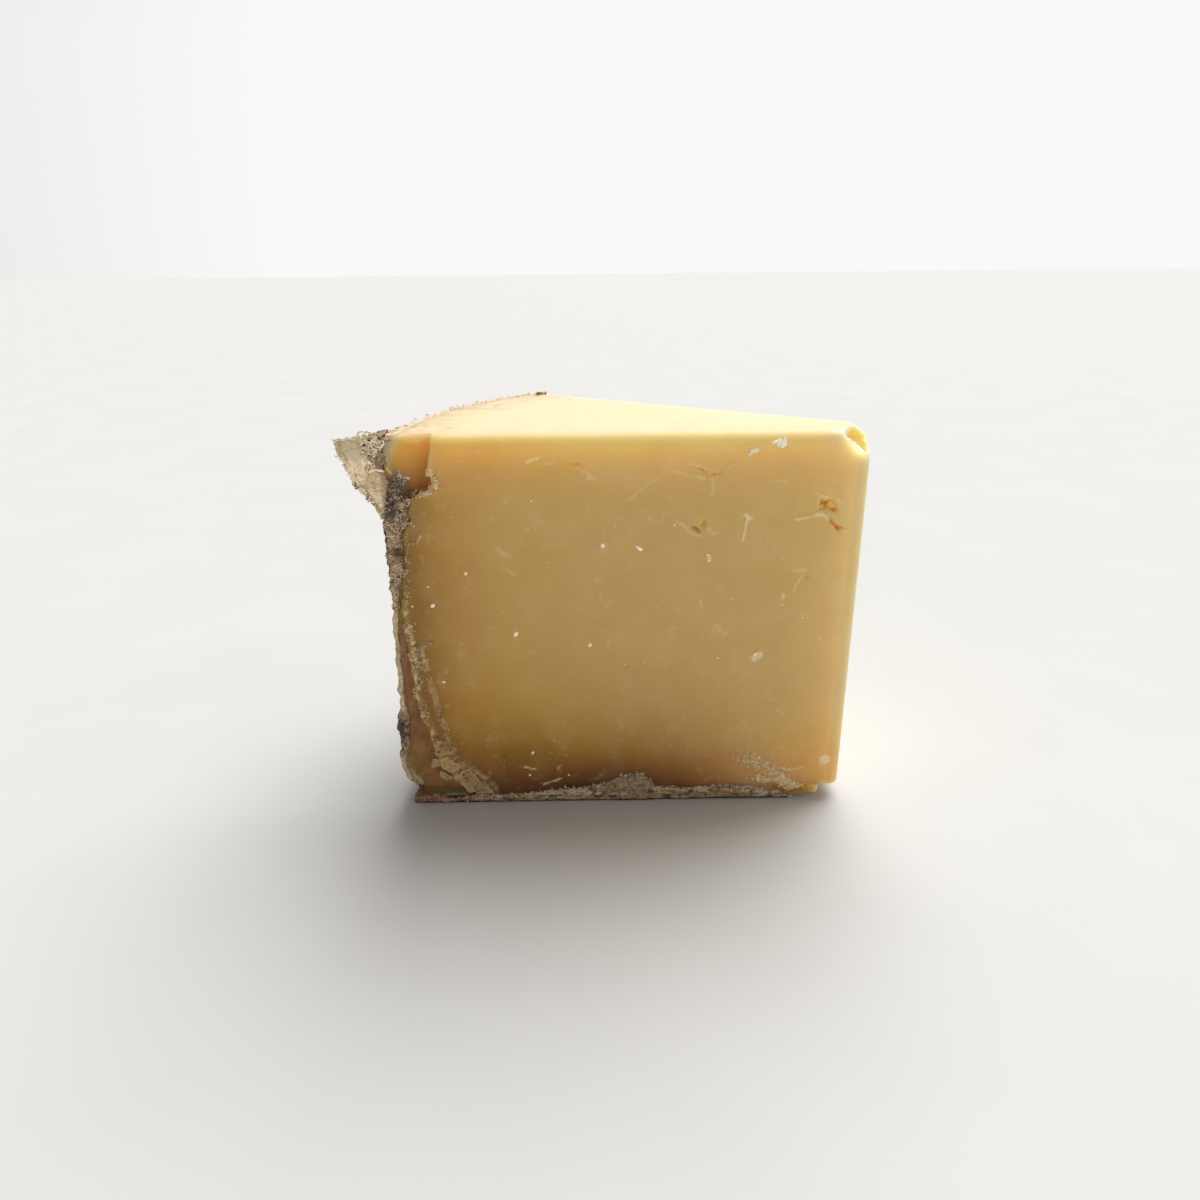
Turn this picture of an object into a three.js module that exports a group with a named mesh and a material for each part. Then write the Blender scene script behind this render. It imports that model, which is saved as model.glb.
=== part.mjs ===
// A wedge of clothbound cheddar, standing on the rind of the wheel's base.
// Millimetres, +Z up. The front cut faces -Y, the wheel's curved wall is on the left
// and the blunt nose, cut off short of the wheel's centre, is on the right.
// The origin is on the floor, under the middle of the wedge's bounding box.

import * as THREE from "three";

// Driving dimensions of the wedge
const HEIGHT = 109;
const FRONT_WIDTH = 126.4;
const WALL_X = -62.5;
const NOSE_WIDTH = 17;
const WHEEL_RADIUS = 121.5;
const SECTOR_ANGLE = THREE.MathUtils.degToRad(44.8);
const TOP_EDGE_RADIUS = 1.8;
const NOSE_EDGE_RADIUS = 3.5;

// The wheel's wall: it leans out towards the base, and its lower edge is worn back above a thin foot
const WALL_LEAN_TOP = 0.5;
const WALL_LEAN_BASE = 2.8;
const WORN_EDGE_HEIGHT = 13.5;
const WORN_EDGE_DEPTH = 4.2;
const FOOT_HEIGHT = 1.6;
const FOOT_REACH = 2;
const WALL_CROWDING = 1.4;

// The crags of the wall: broad ones, bent by a slow wave, with finer slanting ones on them
const CRAG_DEPTH = 0.7;
const BROAD_CRAG = { length: 15, height: 17, share: 0.6 };
const FINE_CRAG = { length: 7.6, height: 6.7, share: 0.4 };
const CRAG_BEND = 4;
const CRAG_BEND_LENGTH = 27;
const FINE_CRAG_SLANT = 0.6;

// The flap of rind and cloth that has peeled away from the top of the wall, at the front cut
const FLAP_REACH = 12.3;
const FLAP_FOOT = 87.5;
const FLAP_TAPER = 0.75;
const FLAP_THICKNESS_TOP = 6;
const FLAP_THICKNESS_FOOT = 22;
const FLAP_THINNING = 1.6;
const FLAP_DROP = 1.2;
const FLAP_SET_BACK = 0.6;

// The notch broken out of the front cut, beside the flap
const NOTCH_RIGHT = -49.4;
const NOTCH_FLOOR_LEFT = { x: -59.8, z: 92.8 };
const NOTCH_FLOOR_SLOPE = 0.48;
const NOTCH_FLOOR_WAVE = 0.5;
const NOTCH_FLOOR_WAVE_LENGTH = 3;
const NOTCH_DEPTH_TOP = 3.2;
const NOTCH_DEPTH_FLOOR = 4.8;
const NOTCH_LEFT_SHARE = 0.35;
const BREAK_WIDTH = 1.4;

// The fractured strip beside the wall: its inner edge runs down the front cut and turns in to the base
const RIDGE = new THREE.SplineCurve([
  new THREE.Vector2(-57, 93),
  new THREE.Vector2(-58.6, 76),
  new THREE.Vector2(-60.4, 60),
  new THREE.Vector2(-59.8, 34.5),
  new THREE.Vector2(-57.7, 24.7),
  new THREE.Vector2(-54.2, 14.7),
  new THREE.Vector2(-49.5, 7.5),
  new THREE.Vector2(-42.5, 0),
]);
const RIDGE_SAMPLES = 60;
const STRIP_DEPTH_TOP = 0.7;
const STRIP_DEPTH_BASE = 3.6;
const STRIP_FADE_HEIGHT = 65;
const STRIP_CRAG = 0.3;
const BASE_RIND = 3;

// Cracks, slits and pits in the front cut, each a groove from one point to another
const GROOVES = [
  { name: "eye", from: [-12.9, 101.9], to: [-7.8, 98.2], width: 1.8, depth: 0.7 },
  { name: "crack left", from: [16.7, 100.2], to: [22.7, 97.8], width: 1.6, depth: 0.8 },
  { name: "crack right", from: [22.7, 97.8], to: [29.4, 103.4], width: 1.8, depth: 0.7 },
  { name: "slits", from: [19.5, 84.1], to: [21.8, 85.8], width: 1.6, depth: 0.8 },
  { name: "amber hole", from: [51.5, 90.8], to: [57.4, 84.2], width: 2.2, depth: 2.2 },
  { name: "side pit", from: [48.6, 71], to: [49.6, 69], width: 1.6, depth: 1.2 },
  { name: "rind pit", from: [-61.4, 79.6], to: [-60.4, 77.4], width: 2.4, depth: 2.4 },
];

// The lump of rind crumbs smeared on the front cut above the base
const LUMP = { x: 1, z: 3, halfWidth: 8, halfHeight: 6.6, swell: 1.8 };
const LUMP_PROUD = 0.9;

// The chip off the front top corner at the nose, and the hollow under the nose
const CHIP_ALONG_FRONT = 13;
const CHIP_ALONG_NOSE = 9;
const CHIP_DOWN = 8;
const NOSE_LIFT = 2.7;
const NOSE_LIFT_FROM = 46;
const NOSE_LIFT_TO = 57;
const NOSE_LIFT_FADE = 30;

// How finely each side is divided
const FRONT_COLUMNS = 54;
const CORNER_COLUMNS = 3;
const NOSE_COLUMNS = 3;
const BACK_COLUMNS = 18;
const WALL_COLUMNS = 30;
const ROWS = 33;
const TOP_EDGE_ROWS = 3;
const END_CROWDING = 0.5;
const CAP_RINGS = [0.94, 0.7, 0.35];

const frontLeft = new THREE.Vector2(WALL_X, 0);
const frontRight = new THREE.Vector2(WALL_X + FRONT_WIDTH, 0);
const noseBack = new THREE.Vector2(frontRight.x, NOSE_WIDTH);
const wheelCentre = new THREE.Vector2(frontLeft.x + WHEEL_RADIUS, 0);
const backLeft = wallPoint(SECTOR_ANGLE, WHEEL_RADIUS);
const capCentre = new THREE.Vector2(5, 32);

function wallPoint(angle, radius) {
  return new THREE.Vector2(
    wheelCentre.x - radius * Math.cos(angle),
    radius * Math.sin(angle),
  );
}

// 0 below 0, 1 above 1 and smooth between
function ease(t) {
  return THREE.MathUtils.smoothstep(t, 0, 1);
}

// Runs from 0 to 1 with its steps crowded towards both ends
function crowded(t) {
  return t - (END_CROWDING * Math.sin(2 * Math.PI * t)) / (2 * Math.PI);
}

function wave(distance, length) {
  return Math.sin((2 * Math.PI * distance) / length);
}

// Irregular swells and hollows, between about -1 and 1, over a length along the wall and a height
function crag(along, z) {
  const bentAlong = along + CRAG_BEND * wave(z, CRAG_BEND_LENGTH);
  const bentUp = z + CRAG_BEND * wave(along, CRAG_BEND_LENGTH);
  const broad = wave(bentAlong, BROAD_CRAG.length) * wave(bentUp, BROAD_CRAG.height);
  const slantAlong = along + FINE_CRAG_SLANT * z;
  const slantUp = z - FINE_CRAG_SLANT * along;
  const fine = wave(slantAlong, FINE_CRAG.length) * wave(slantUp, FINE_CRAG.height);
  return BROAD_CRAG.share * broad + FINE_CRAG.share * fine;
}

// How far the wall stands outside the wheel's nominal radius at a height
function wallStand(z) {
  const lean = THREE.MathUtils.lerp(WALL_LEAN_BASE, WALL_LEAN_TOP, z / HEIGHT);
  const worn = WORN_EDGE_DEPTH * ease((WORN_EDGE_HEIGHT - z) / WORN_EDGE_HEIGHT);
  const foot = FOOT_REACH * ease((FOOT_HEIGHT - z) / FOOT_HEIGHT);
  return lean - worn + foot;
}

// How far the flap reaches past the wall, at a height and at a depth behind the front cut
function flapReach(z, depth) {
  const share = Math.max(0, (z - FLAP_FOOT) / (HEIGHT - FLAP_FOOT));
  const thickness = THREE.MathUtils.lerp(FLAP_THICKNESS_FOOT, FLAP_THICKNESS_TOP, share);
  const thinning = Math.max(0, 1 - depth / thickness) ** FLAP_THINNING;
  return FLAP_REACH * share ** FLAP_TAPER * thinning;
}

// Where the wedge ends on the left of the front cut, at a height
function leftEdge(z) {
  return frontLeft.x - wallStand(z) - flapReach(z, 0) - CRAG_DEPTH * crag(0, z);
}

const ridgePoints = RIDGE.getPoints(RIDGE_SAMPLES);

function ridgeX(z) {
  const below = ridgePoints.findIndex((point) => point.y <= z);
  if (below <= 0) {
    return below === 0 ? ridgePoints[0].x : ridgePoints[RIDGE_SAMPLES].x;
  }
  const upper = ridgePoints[below - 1];
  const lower = ridgePoints[below];
  return THREE.MathUtils.mapLinear(z, lower.y, upper.y, lower.x, upper.x);
}

function notchDepth(x, z) {
  const slope = NOTCH_FLOOR_SLOPE * (x - NOTCH_FLOOR_LEFT.x);
  const ragged = NOTCH_FLOOR_WAVE * wave(x, NOTCH_FLOOR_WAVE_LENGTH);
  const floor = NOTCH_FLOOR_LEFT.z + slope + ragged;
  const inside = ease((NOTCH_RIGHT - x) / BREAK_WIDTH) * ease((z - floor) / BREAK_WIDTH);
  const fall = THREE.MathUtils.clamp((HEIGHT - z) / (HEIGHT - floor), 0, 1);
  const depth = THREE.MathUtils.lerp(NOTCH_DEPTH_TOP, NOTCH_DEPTH_FLOOR, fall);
  const fromWall = ease((x - frontLeft.x) / (NOTCH_RIGHT - frontLeft.x));
  return inside * depth * THREE.MathUtils.lerp(NOTCH_LEFT_SHARE, 1, fromWall);
}

// The strip stops at the rind of the wheel's base, which reaches the plane of the cut
function stripDepth(x, z) {
  const inside = ease((ridgeX(z) - x) / BREAK_WIDTH) * ease(z / BASE_RIND - 0.5);
  const up = ease(z / STRIP_FADE_HEIGHT);
  const depth = THREE.MathUtils.lerp(STRIP_DEPTH_BASE, STRIP_DEPTH_TOP, up);
  return inside * (depth + STRIP_CRAG * crag(2 * x, 2 * z));
}

function grooveDepth(x, z, groove) {
  const start = new THREE.Vector2(...groove.from);
  const line = new THREE.Vector2(...groove.to).sub(start);
  const reach = new THREE.Vector2(x, z).sub(start);
  const along = THREE.MathUtils.clamp(reach.dot(line) / line.lengthSq(), 0, 1);
  const away = reach.distanceTo(line.multiplyScalar(along));
  return groove.depth * Math.max(0, 1 - (away / groove.width) ** 2);
}

function lumpSwell(x, z) {
  const across = (x - LUMP.x) / LUMP.halfWidth;
  const up = (z - LUMP.z) / LUMP.halfHeight;
  const swell = LUMP.swell * Math.max(0, 1 - across ** 2 - up ** 2);
  return Math.min(LUMP_PROUD, swell);
}

// How far the front cut lies behind its own plane
function frontRecess(x, z) {
  const flap = x < frontLeft.x ? FLAP_SET_BACK : 0;
  const broken = z > FLAP_FOOT ? Math.max(notchDepth(x, z), flap) : 0;
  const grooves = GROOVES.reduce((sum, groove) => sum + grooveDepth(x, z, groove), 0);
  return Math.max(broken, stripDepth(x, z)) + grooves - lumpSwell(x, z);
}

// The round corner between two straight sides: its centre, and its columns' directions
function corner(before, at, after) {
  const inward = before.clone().sub(at).normalize();
  const onward = after.clone().sub(at).normalize();
  const bisector = inward.clone().add(onward).normalize();
  const halfAngle = Math.acos(inward.dot(bisector));
  const centre = at.clone().addScaledVector(bisector, NOSE_EDGE_RADIUS / Math.sin(halfAngle));
  const first = new THREE.Vector2(-inward.y, inward.x);
  const turn = Math.PI - 2 * halfAngle;
  return { centre, first: Math.atan2(first.y, first.x), turn };
}

const frontCorner = corner(frontLeft, frontRight, noseBack);
const backCorner = corner(frontRight, noseBack, backLeft);

function cornerPoint(round, share, inset) {
  const angle = round.first + share * round.turn;
  const reach = NOSE_EDGE_RADIUS - inset;
  return round.centre
    .clone()
    .add(new THREE.Vector2(Math.cos(angle), Math.sin(angle)).multiplyScalar(reach));
}

// Each function below gives a side's points at one height, in order, each drawn in by the inset

function frontPoints(z, inset) {
  const left = leftEdge(z) + inset;
  const right = frontCorner.centre.x;
  return Array.from({ length: FRONT_COLUMNS }, (_, i) => {
    const x = THREE.MathUtils.lerp(left, right, crowded(i / FRONT_COLUMNS));
    const drawnIn = inset * Math.min(1, i / CORNER_COLUMNS);
    return new THREE.Vector2(x, frontRecess(x, z) + drawnIn);
  });
}

function nosePoints(inset) {
  const rounds = [frontCorner, backCorner];
  const [front, back] = rounds.map((round) =>
    Array.from({ length: CORNER_COLUMNS + 1 }, (_, i) =>
      cornerPoint(round, i / CORNER_COLUMNS, inset),
    ),
  );
  const from = front[CORNER_COLUMNS];
  const flat = Array.from({ length: NOSE_COLUMNS - 1 }, (_, i) =>
    from.clone().lerp(back[0], (i + 1) / NOSE_COLUMNS),
  );
  return [...front, ...flat, ...back];
}

function backPoints(z, inset) {
  const from = cornerPoint(backCorner, 1, inset);
  const to = wallPoint(SECTOR_ANGLE, WHEEL_RADIUS + wallStand(z));
  const inward = new THREE.Vector2(to.y - from.y, from.x - to.x).normalize().negate();
  to.addScaledVector(inward, inset);
  return Array.from({ length: BACK_COLUMNS - 1 }, (_, i) =>
    from.clone().lerp(to, crowded((i + 1) / BACK_COLUMNS)),
  );
}

// The wall's first columns stand clear of the recess at the front cut's left edge
function wallPoints(z, inset) {
  const edgeAngle = Math.asin(frontRecess(leftEdge(z), z) / WHEEL_RADIUS);
  return Array.from({ length: WALL_COLUMNS }, (_, i) => {
    const share = 1 - i / WALL_COLUMNS;
    const angle = THREE.MathUtils.lerp(edgeAngle, SECTOR_ANGLE, share ** WALL_CROWDING);
    const along = angle * WHEEL_RADIUS;
    const depth = along - edgeAngle * WHEEL_RADIUS;
    const relief = i === 0 ? 0 : CRAG_DEPTH * crag(along, z);
    const radius = WHEEL_RADIUS + wallStand(z) + flapReach(z, depth) + relief - inset;
    return wallPoint(angle, radius);
  });
}

// The hollow under the nose lifts the base there and fades out up the sides
function noseLift(x, z) {
  const lift = NOSE_LIFT * ease((x - NOSE_LIFT_FROM) / (NOSE_LIFT_TO - NOSE_LIFT_FROM));
  return lift * Math.max(0, 1 - z / NOSE_LIFT_FADE);
}

function flapDrop(x, z) {
  const past = THREE.MathUtils.clamp((frontLeft.x - x) / FLAP_REACH, 0, 1);
  return FLAP_DROP * past * ease((z - FLAP_FOOT) / (HEIGHT - FLAP_FOOT));
}

// The chip is a plane that cuts the corner off: what stands outside it is brought back onto it
const chipNormal = new THREE.Vector3(
  1 / CHIP_ALONG_FRONT,
  -1 / CHIP_ALONG_NOSE,
  1 / CHIP_DOWN,
).normalize();
const chipEdge = new THREE.Vector3(frontRight.x - CHIP_ALONG_FRONT, 0, HEIGHT);
const chipPlane = new THREE.Plane().setFromNormalAndCoplanarPoint(chipNormal, chipEdge);

function chipped(point) {
  const outside = chipPlane.distanceToPoint(point);
  return outside > 0 ? point.addScaledVector(chipNormal, -outside) : point;
}

function ringAt(z, inset) {
  const outline = [
    ...frontPoints(z, inset),
    ...nosePoints(inset),
    ...backPoints(z, inset),
    ...wallPoints(z, inset),
  ];
  return outline.map(({ x, y }) => new THREE.Vector3(x, y, z + noseLift(x, z) - flapDrop(x, z)));
}

// A ring drawn in towards the middle of the top or the base
function capRing(ring, share, z) {
  return ring.map((point) => {
    const x = THREE.MathUtils.lerp(capCentre.x, point.x, share);
    const y = THREE.MathUtils.lerp(capCentre.y, point.y, share);
    return new THREE.Vector3(x, y, z + noseLift(x, z));
  });
}

function sideRings() {
  const straight = HEIGHT - TOP_EDGE_RADIUS;
  const rings = [];
  for (let row = 0; row <= ROWS; row++) {
    rings.push(ringAt(straight * crowded(row / ROWS), 0));
  }
  for (let row = 1; row <= TOP_EDGE_ROWS; row++) {
    const turn = (0.5 * Math.PI * row) / TOP_EDGE_ROWS;
    const inset = TOP_EDGE_RADIUS * (1 - Math.cos(turn));
    rings.push(ringAt(straight + TOP_EDGE_RADIUS * Math.sin(turn), inset));
  }
  return rings;
}

// Skins a stack of rings that starts and ends at a single point, with its faces outwards
function skin(firstPole, rings, lastPole) {
  const count = rings[0].length;
  const points = [firstPole, ...rings.flat(), lastPole];
  const last = points.length - 1;
  const index = [];
  const at = (ring, column) => 1 + ring * count + (column % count);
  for (let column = 0; column < count; column++) {
    index.push(0, at(0, column + 1), at(0, column));
    index.push(last, at(rings.length - 1, column), at(rings.length - 1, column + 1));
    for (let ring = 0; ring < rings.length - 1; ring++) {
      const corners = [
        at(ring, column),
        at(ring, column + 1),
        at(ring + 1, column + 1),
        at(ring + 1, column),
      ];
      index.push(corners[0], corners[1], corners[2]);
      index.push(corners[0], corners[2], corners[3]);
    }
  }
  const geometry = new THREE.BufferGeometry().setFromPoints(points);
  geometry.setIndex(index);
  return geometry;
}

function wedgeGeometry() {
  const sides = sideRings();
  const base = [...CAP_RINGS].reverse().map((share) => capRing(sides[0], share, 0));
  const top = CAP_RINGS.map((share) => capRing(sides[sides.length - 1], share, HEIGHT));
  const rings = [...base, ...sides, ...top];
  rings.flat().forEach(chipped);
  const geometry = skin(
    new THREE.Vector3(capCentre.x, capCentre.y, 0),
    rings,
    new THREE.Vector3(capCentre.x, capCentre.y, HEIGHT),
  );
  geometry.computeBoundingBox();
  const middle = geometry.boundingBox.getCenter(new THREE.Vector3());
  geometry.translate(-middle.x, -middle.y, 0);
  geometry.computeVertexNormals();
  return geometry;
}

const cheese = new THREE.MeshStandardMaterial({
  color: 0xe3b96c,
  roughness: 0.55,
  metalness: 0,
  side: THREE.FrontSide,
});

const wedge = new THREE.Mesh(wedgeGeometry(), cheese);
wedge.name = "cheese_wedge";

const model = new THREE.Group();
model.add(wedge);

export default model;
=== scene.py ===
import itertools
import math

import bmesh
import bpy
import numpy as np
from mathutils import Matrix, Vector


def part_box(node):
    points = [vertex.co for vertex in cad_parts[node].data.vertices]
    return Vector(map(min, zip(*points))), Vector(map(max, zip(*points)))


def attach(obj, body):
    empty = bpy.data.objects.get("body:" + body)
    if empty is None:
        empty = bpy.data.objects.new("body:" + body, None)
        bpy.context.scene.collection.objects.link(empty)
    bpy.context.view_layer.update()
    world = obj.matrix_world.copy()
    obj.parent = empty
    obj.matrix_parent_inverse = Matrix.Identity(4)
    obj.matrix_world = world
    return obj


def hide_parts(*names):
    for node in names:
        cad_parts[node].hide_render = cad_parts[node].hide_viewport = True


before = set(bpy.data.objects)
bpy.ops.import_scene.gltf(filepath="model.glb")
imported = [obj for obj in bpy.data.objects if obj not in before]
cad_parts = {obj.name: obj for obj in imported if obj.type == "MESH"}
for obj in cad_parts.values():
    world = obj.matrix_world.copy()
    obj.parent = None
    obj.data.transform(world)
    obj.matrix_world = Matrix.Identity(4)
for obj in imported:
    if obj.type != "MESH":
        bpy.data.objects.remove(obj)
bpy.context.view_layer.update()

# A wedge of clothbound cheddar. Shapes are worked out in millimetres, in the frame of the
# wedge's drawing: the front cut lies in Y = 0 and faces -Y, the wheel's wall is on the left
# and the blunt nose on the right. put() moves them into the frame of the CAD, in metres.

NODE = "cheese_wedge"
NODE_LOW, NODE_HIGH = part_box(NODE)

# Driving dimensions, the same as the solid's
HEIGHT = 109.0
WALL_X = -62.5
NOSE_X = 63.9
NOSE_WIDTH = 17.0
WHEEL_RADIUS = 121.5
SECTOR = math.radians(44.8)
TOP_ROUND = 3.4
NOSE_ROUND = 3.5
LUMP_PROUD = 0.9
SHIFT = np.array([NODE_HIGH[0] * 1000 - NOSE_X, NODE_LOW[1] * 1000 + LUMP_PROUD, 0.0])

WHEEL_CENTRE = np.array([WALL_X + WHEEL_RADIUS, 0.0])
BACK_LEFT = np.array([
    WHEEL_CENTRE[0] - WHEEL_RADIUS * math.cos(SECTOR),
    WHEEL_RADIUS * math.sin(SECTOR),
])
CAP_CENTRE = np.array([-17.0, 38.0])
FLAP_REACH = 12.3
FLAP_FOOT = 87.5
FOOT_REACH = 30        # height up to which the paste is lifted off the floor
SWELL = 0.7            # height of the wall's swells
RED_PIT = (-60.6, 78.3)
SCATTER_MM = 9.5       # how far light travels in the paste

# Inner edge of the fractured strip beside the wall, as (x, z) down the front cut
RIDGE = np.array([
    (-57, 93), (-58.6, 76), (-60.6, 62), (-60, 54.7), (-59.4, 46), (-59.3, 35.7),
    (-57.9, 28.3), (-56, 23.5), (-55.2, 15.6), (-53.6, 11.7), (-49.5, 8), (-47, 5),
    (-43.5, 0),
])
# A second, fainter line of torn paste to the right of it
TEAR = np.array([
    (-53.3, 52.8), (-56.7, 50.4), (-55.9, 46.5), (-55.2, 42), (-54.1, 36.9), (-53.2, 31),
    (-51.6, 23), (-50.2, 18), (-48.9, 14), (-46.5, 11.2), (-43.4, 8.6), (-40.3, 5.6),
    (-38.4, 3.4),
])
# Right edge of the crumbly rind on the front cut
RIND_EDGE = np.array([
    (-64, 109.5), (-64, 100.5), (-62.6, 97.4), (-60.4, 94.6), (-57, 92.2), (-56.4, 89.4),
    (-57.2, 86.3), (-59.1, 83.6), (-58.5, 79.3), (-60, 76.7), (-59.3, 73.2), (-60.7, 69.3),
    (-61.6, 67.1), (-62, 63.5), (-62.6, 58.5), (-62.8, 50), (-63, 40), (-63.1, 32),
    (-62.4, 28), (-62.4, 24), (-63.4, 20.5), (-63, 18.4), (-64.2, 16), (-64.9, 12),
    (-64.3, 8.3), (-62.9, 5.4), (-61, 0),
])
# How much further out than the solid's wall the rind stands at the front cut: height, distance
STAND_MORE = np.array([
    (0, 0), (3, -0.5), (5, 1.2), (7, 1.9), (9, 1.9), (12, 1.5), (16, 0.9), (20, 0.9), (24, 1.3),
    (28, 1), (31, 0), (34, -0.5), (40, -0.5), (60, -0.6), (68, -0.7), (72, -0.2), (76, -0.4),
    (84, 0), (87, -0.5), (90, -0.6), (94, 0), (110, 0),
])

# Colours of the paste and the rind, linear
PASTE = (0.78, 0.53, 0.195)
# The top's paler colour is partly the dry cut face and partly painted light; the next two are painted
# glow, under the top and at the nose
PASTE_TOP_DRY_AND_PAINTED_LIGHT = (0.86, 0.66, 0.38)
PAINTED_TOP_GLOW = (1.0, 0.70, 0.205)
PAINTED_NOSE_GLOW = (0.90, 0.70, 0.34)
PASTE_RED = (0.34, 0.128, 0.036)
PASTE_CORNER = (0.40, 0.195, 0.050)
# Amber of cracks and pits: painted shade
CREVICE_SHADE_AMBER = (0.93, 0.57, 0.075)
TORN = (0.96, 0.78, 0.44)
FLAKY = (0.74, 0.54, 0.24)
CHALK = (0.72, 0.62, 0.47)
BEIGE = (0.47, 0.35, 0.22)
BROWN = (0.115, 0.065, 0.032)
BLACKISH = (0.022, 0.018, 0.014)
CLOTH = (1.0, 0.84, 0.58)


# ---------------------------------------------------------------- numbers and noise

def ease(t):
    """0 below 0, 1 above 1 and smooth between."""
    t = np.clip(t, 0, 1)
    return t * t * (3 - 2 * t)


def over(value, limit, width):
    """0 up to a limit, and 1 from a width above it on."""
    return ease((value - limit) / width)


def under(value, limit, width):
    """0 down to a limit, and 1 from a width below it on."""
    return ease((limit - value) / width)


def bell(value, middle, width):
    return np.exp(-((value - middle) / width) ** 2)


def fade(distance, length):
    """1 up to a distance of 0, and less and less beyond it."""
    return np.exp(-np.maximum(0, distance) / length)


def spot(x, z, middle, radius, soft, tall=1):
    """1 inside a round spot on the front cut, 0 outside it."""
    return ease((radius - np.hypot(x - middle[0], (z - middle[1]) / tall)) / soft)


def blend(a, b, share):
    return a + (b - a) * share


def tint(a, b, share):
    """Rows of colour from a to b by a share for each row."""
    share = np.clip(np.asarray(share), 0, 1)[..., None]
    return np.asarray(a) * (1 - share) + np.asarray(b) * share


def layered(rgb, *coats):
    """Lays coats over a colour one after the other, each a colour and its share."""
    for colour, share in coats:
        rgb = tint(rgb, colour, share)
    return rgb


def hashed(cell, seed):
    """A number from 0 to 1 for each row of whole-number coordinates."""
    mixed = cell[..., 0] * 73856093 ^ cell[..., 1] * 19349663 ^ cell[..., 2] * 83492791
    mixed = (mixed ^ (seed * 40503 + 977)) & 0xFFFFFFFF
    mixed = (mixed ^ (mixed >> 13)) * 1274126177 & 0xFFFFFFFF
    mixed = (mixed ^ (mixed >> 16)) * 2246822519 & 0xFFFFFFFF
    return (mixed ^ (mixed >> 15)) % 65536 / 65535


def noise(points, size, seed):
    """Smooth noise from -1 to 1, whose swells are about as large as the size."""
    place = points / size
    cell = np.floor(place).astype(np.int64)
    part = place - cell
    part = part * part * (3 - 2 * part)
    total = 0
    for corner in itertools.product((0, 1), repeat=3):
        weight = np.prod(np.where(corner, part, 1 - part), axis=-1)
        total = total + weight * hashed(cell + np.array(corner), seed)
    return 2 * total - 1


def fractal(points, size, seed, octaves=3):
    """Noise of several sizes, each about half of the last one and fainter."""
    total, share, shares = 0, 1.0, 0.0
    for octave in range(octaves):
        total = total + share * noise(points, size / 2.03 ** octave, seed + 7 * octave)
        shares += share
        share *= 0.55
    return total / shares


def grains(points, size, seed):
    """Distance to the nearest of many scattered points, in cells."""
    place = points / size
    cell = np.floor(place).astype(np.int64)
    near = np.full(place.shape[:-1], 9.0)
    for step in itertools.product((-1, 0, 1), repeat=3):
        other = cell + np.array(step)
        scattered_point = other + np.stack([hashed(other, seed + k) for k in range(3)], -1)
        near = np.minimum(near, np.linalg.norm(place - scattered_point, axis=-1))
    return near


def on_front(x, z):
    """Points of the front cut's plane, for noise."""
    return np.stack([x, np.zeros_like(x), z], -1)


def graded(stops):
    """Places from the first stop to the last; each stop gives a place and the spacing there."""
    at, step = np.array(stops).T
    places = [at[0]]
    while places[-1] < at[-1]:
        places.append(places[-1] + np.interp(places[-1], at, step))
    places = np.array(places)
    return at[0] + (places - at[0]) * (at[-1] - at[0]) / (places[-1] - at[0])


def read(table, at):
    """A table's second column where its first one has a value."""
    return np.interp(at, table[:, 0], table[:, 1])


def line_x(line, z):
    """Where a line that runs down the front cut is, at a height."""
    return read(line[np.argsort(line[:, 1])][:, ::-1], z)


def resampled(points, count):
    """As many points as the count along a table of points."""
    at = np.linspace(0, len(points) - 1, count)
    return np.stack([np.interp(at, np.arange(len(points)), column) for column in points.T], -1)


def run_length(points):
    """Distance from the start along a row of points, or along each of many rows."""
    steps = np.linalg.norm(np.diff(points, axis=-2), axis=-1)
    start = np.zeros(steps.shape[:-1] + (1,))
    return np.concatenate([start, np.cumsum(steps, axis=-1)], axis=-1)


def with_height(points, z):
    return np.column_stack([points, np.broadcast_to(z, len(points))])


def from_line(x, z, line):
    """Distance to a line of (x, z) points."""
    best = np.full(np.shape(x), 1e9)
    for (ax, az), (bx, bz) in zip(line[:-1], line[1:]):
        dx, dz = bx - ax, bz - az
        along = np.clip(((x - ax) * dx + (z - az) * dz) / (dx * dx + dz * dz), 0, 1)
        best = np.minimum(best, np.hypot(x - ax - along * dx, z - az - along * dz))
    return best


# ---------------------------------------------------------------- the wedge's form

def wave(distance, length):
    return np.sin(2 * math.pi * distance / length)


def crag(along, z):
    """Swells and hollows of the wall, between about -1 and 1."""
    bent_along = along + 4 * wave(z, 27)
    bent_up = z + 4 * wave(along, 27)
    broad = wave(bent_along, 15) * wave(bent_up, 17)
    fine = wave(along + 0.6 * z, 7.6) * wave(z - 0.6 * along, 6.7)
    return 0.6 * broad + 0.4 * fine


def wall_stand(z):
    """How far the wall stands outside the wheel's nominal radius."""
    lean = blend(2.8, 0.5, z / HEIGHT)
    return lean - 4.2 * under(z, 13.5, 13.5) + 2 * under(z, 1.6, 1.6)


def flap_reach(z, depth):
    share = np.maximum(0, (z - FLAP_FOOT) / (HEIGHT - FLAP_FOOT))
    thickness = blend(22.0, 6.0, share)
    return FLAP_REACH * share ** 0.75 * np.maximum(0, 1 - depth / thickness) ** 1.6


def left_edge(z, flap=1.0):
    """Where the wedge ends on the left; flap is the share of the flap that is taken in."""
    return WALL_X - wall_stand(z) - flap * flap_reach(z, 0) - SWELL * crag(0, z)


def notch_floor(x):
    return 93.0 + 0.42 * (x + 56)


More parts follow.
